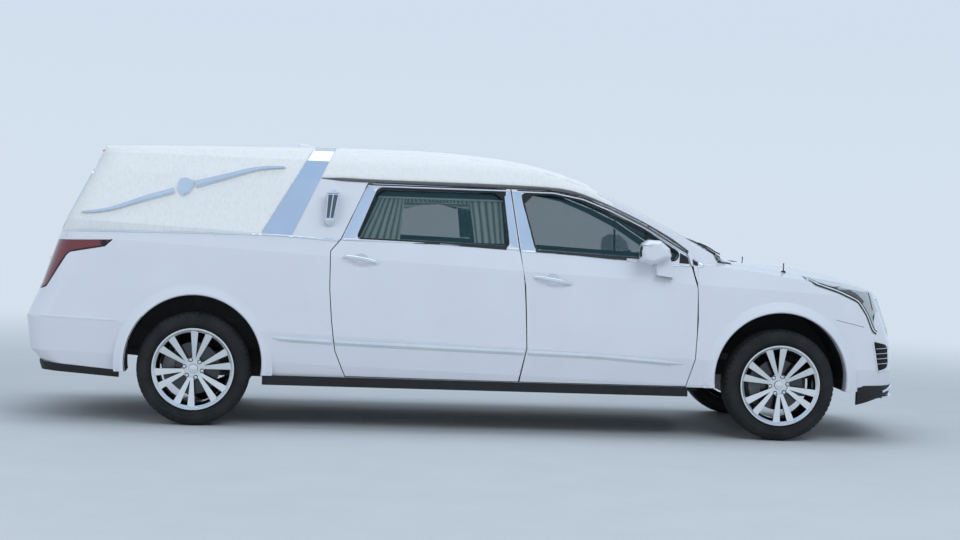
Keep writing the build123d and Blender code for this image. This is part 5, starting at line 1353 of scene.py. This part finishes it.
def add_cowl_screen():
    """Painted cover that fills the open step between the hood's rear edge and the cowl."""
    skin = Skin("hood", "roof", "windscreen", "cowl", "front_bumper", "fender_left", "fender_right")
    rows = [cowl_row(skin, COWL_HALF * (k / 24 - 1)) for k in range(49)]
    bm = bmesh.new()
    for pair in zip(rows, rows[1:]):
        if None not in pair:
            grid_faces(bm, pair)
    screen = new_piece("cowl_screen", "root", to_mesh("cowl_screen", bm), PAINT)
    screen.modifiers.new("thickness", "SOLIDIFY").thickness = 0.003


WIPERS = {"right": (-0.56, 0.02), "left": (0.06, 0.60)}


def add_wipers():
    """Two parked wipers along the foot of the windscreen, each with its arm and pivot."""
    screen, near = Skin("windscreen"), Skin("windscreen", "cowl", "hood", "roof")

    def foot(y):
        x, hit = 2.0, screen.above((2.0, y))
        while x > 1.0 and (hit is None or hit[0].z < 1.0):
            x -= COWL_STEP
            hit = screen.above((x, y))
        return x

    for name, (start, stop) in WIPERS.items():
        ys = [start + (stop - start) * k / 20 for k in range(21)]
        blade = [Vector((foot(y) - 0.045 - 0.10 * k / 20, y)) for k, y in enumerate(ys)]
        strip(f"wiper_blade_{name}", "root", screen.above, blade, 0.006, 0.012, BLACK)
        pivot = Vector((foot(start + 0.10) + 0.015, start + 0.10))
        rings = []
        for k in range(13):
            t = k / 12
            centre = near.above(pivot.lerp(blade[11], t))[0] + Z * (0.012 + 0.008 * math.sin(math.pi * t))
            rings.append(ring(centre, Y * (0.010 - 0.005 * t), Z * 0.005, 10))
        lofts(f"wiper_arm_{name}", "root", [rings], GLOSS_BLACK)


DECK_START, DECK_STOP, RAIL_OUT = -2.36, -0.62, 0.300
ROLLERS = 6
ROLLER = ((0.010, -0.255), (0.016, -0.250), (0.016, 0.250), (0.010, 0.255))
DECK_PIN = ((0.032, -0.002), (0.032, 0.006), (0.014, 0.008), (0.014, 0.062), (0.009, 0.068))


def add_deck_fittings():
    """Two bright rails along the casket deck, rollers between them and four stop pins."""
    deck = Skin("casket_deck")
    for side, sign in SIDES.items():
        rail = even([(DECK_START, sign * RAIL_OUT), (DECK_STOP, sign * RAIL_OUT)], 0.1)
        strip(f"deck_rail_{side}", "root", deck.above, rail, 0.012, 0.012)
    for k in range(ROLLERS):
        x = DECK_START + 0.12 + (DECK_STOP - DECK_START - 0.24) * k / (ROLLERS - 1)
        base = Vector((x, 0, deck.above((x, 0.0))[0].z + 0.014))
        lofts(f"deck_roller_{k + 1}", "root", [turned(base, Y, X, Z, ROLLER)], BLACK)
    places = [(x, y) for x in (DECK_START + 0.05, DECK_STOP - 0.05) for y in (-0.17, 0.17)]
    for k, (x, y) in enumerate(places):
        base = Vector((x, y, deck.above((x, y))[0].z))
        lofts(f"deck_pin_{k + 1}", "root", [turned(base, Z, X, Y, DECK_PIN)])


MIRROR_EDGE = ((0.972, 1.198), (0.972, 1.298), (1.046, 1.300), (1.052, 1.215))
MIRROR_SEAM = ((1.078, 1.292), (1.150, 1.290))


def add_mirror_glass(side, find):
    """The mirror's glass, in the rear view, and a dark line along its lamp."""
    skin, door = Skin(f"front_door_{side}"), f"front_door_{side}"
    outline = rounded([(SIDES[side] * y, z) for y, z in MIRROR_EDGE], 0.022, 0.008, closed=True)
    plate(f"mirror_glass_{side}", door, lambda p: skin.ray((DOOR_POST + 0.55, p[0], p[1]), X), outline, 0.002,
          ("mirror_glass", "chrome"), edge=0.003)
    strip(f"mirror_lamp_{side}", door, find["front_door"], even(MIRROR_SEAM, 0.01),
          lambda t: 0.0025 * (1 - 0.8 * t), 0.0015, GLOSS_BLACK)


POST_AT = (2.112, 0.700)
POST_RUNS = (((0.017, -0.003), (0.017, 0.004), (0.013, 0.009), (0.006, 0.012)),
             ((0.0042, 0.004), (0.0036, 0.052), (0.0046, 0.054), (0.0046, 0.060), (0.002, 0.062)))


def add_flag_post(side):
    """Short black post with its foot on the edge of the hood."""
    foot = Skin("hood").above((POST_AT[0], SIDES[side] * POST_AT[1]))[0]
    lofts(f"flag_post_{side}", "hood", [turned(foot, Z, X, Y, stations) for stations in POST_RUNS], GLOSS_BLACK)


def add_trim():
    for side, sign in SIDES.items():
        find = finders(side)
        for add in (add_mouldings, add_window_trim, add_roof_edges, add_flares, add_handles,
                    add_side_lamp_and_vent):
            add(side, find)
        add_lantern_glass(side)
        add_curtains(side)
        add_lamp_details(side, find)
        add_mirror_glass(side, find)
        add_flag_post(side)
        for end, hub in HUBS.items():
            hub = Vector((hub.x, sign * abs(hub.y), hub.z))
            add_tyre(end, side, hub)
            add_lugs(end, side, hub)
    upper = Skin(*UPPER)
    add_band_bead(upper)
    add_front_vinyl(upper)
    for add in (add_fin, add_seats, add_skirts, add_tail_details, add_nose_details, add_cowl_screen, add_wipers,
                add_deck_fittings):
        add()


add_camera()
add_studio()
dress_nodes()
add_trim()
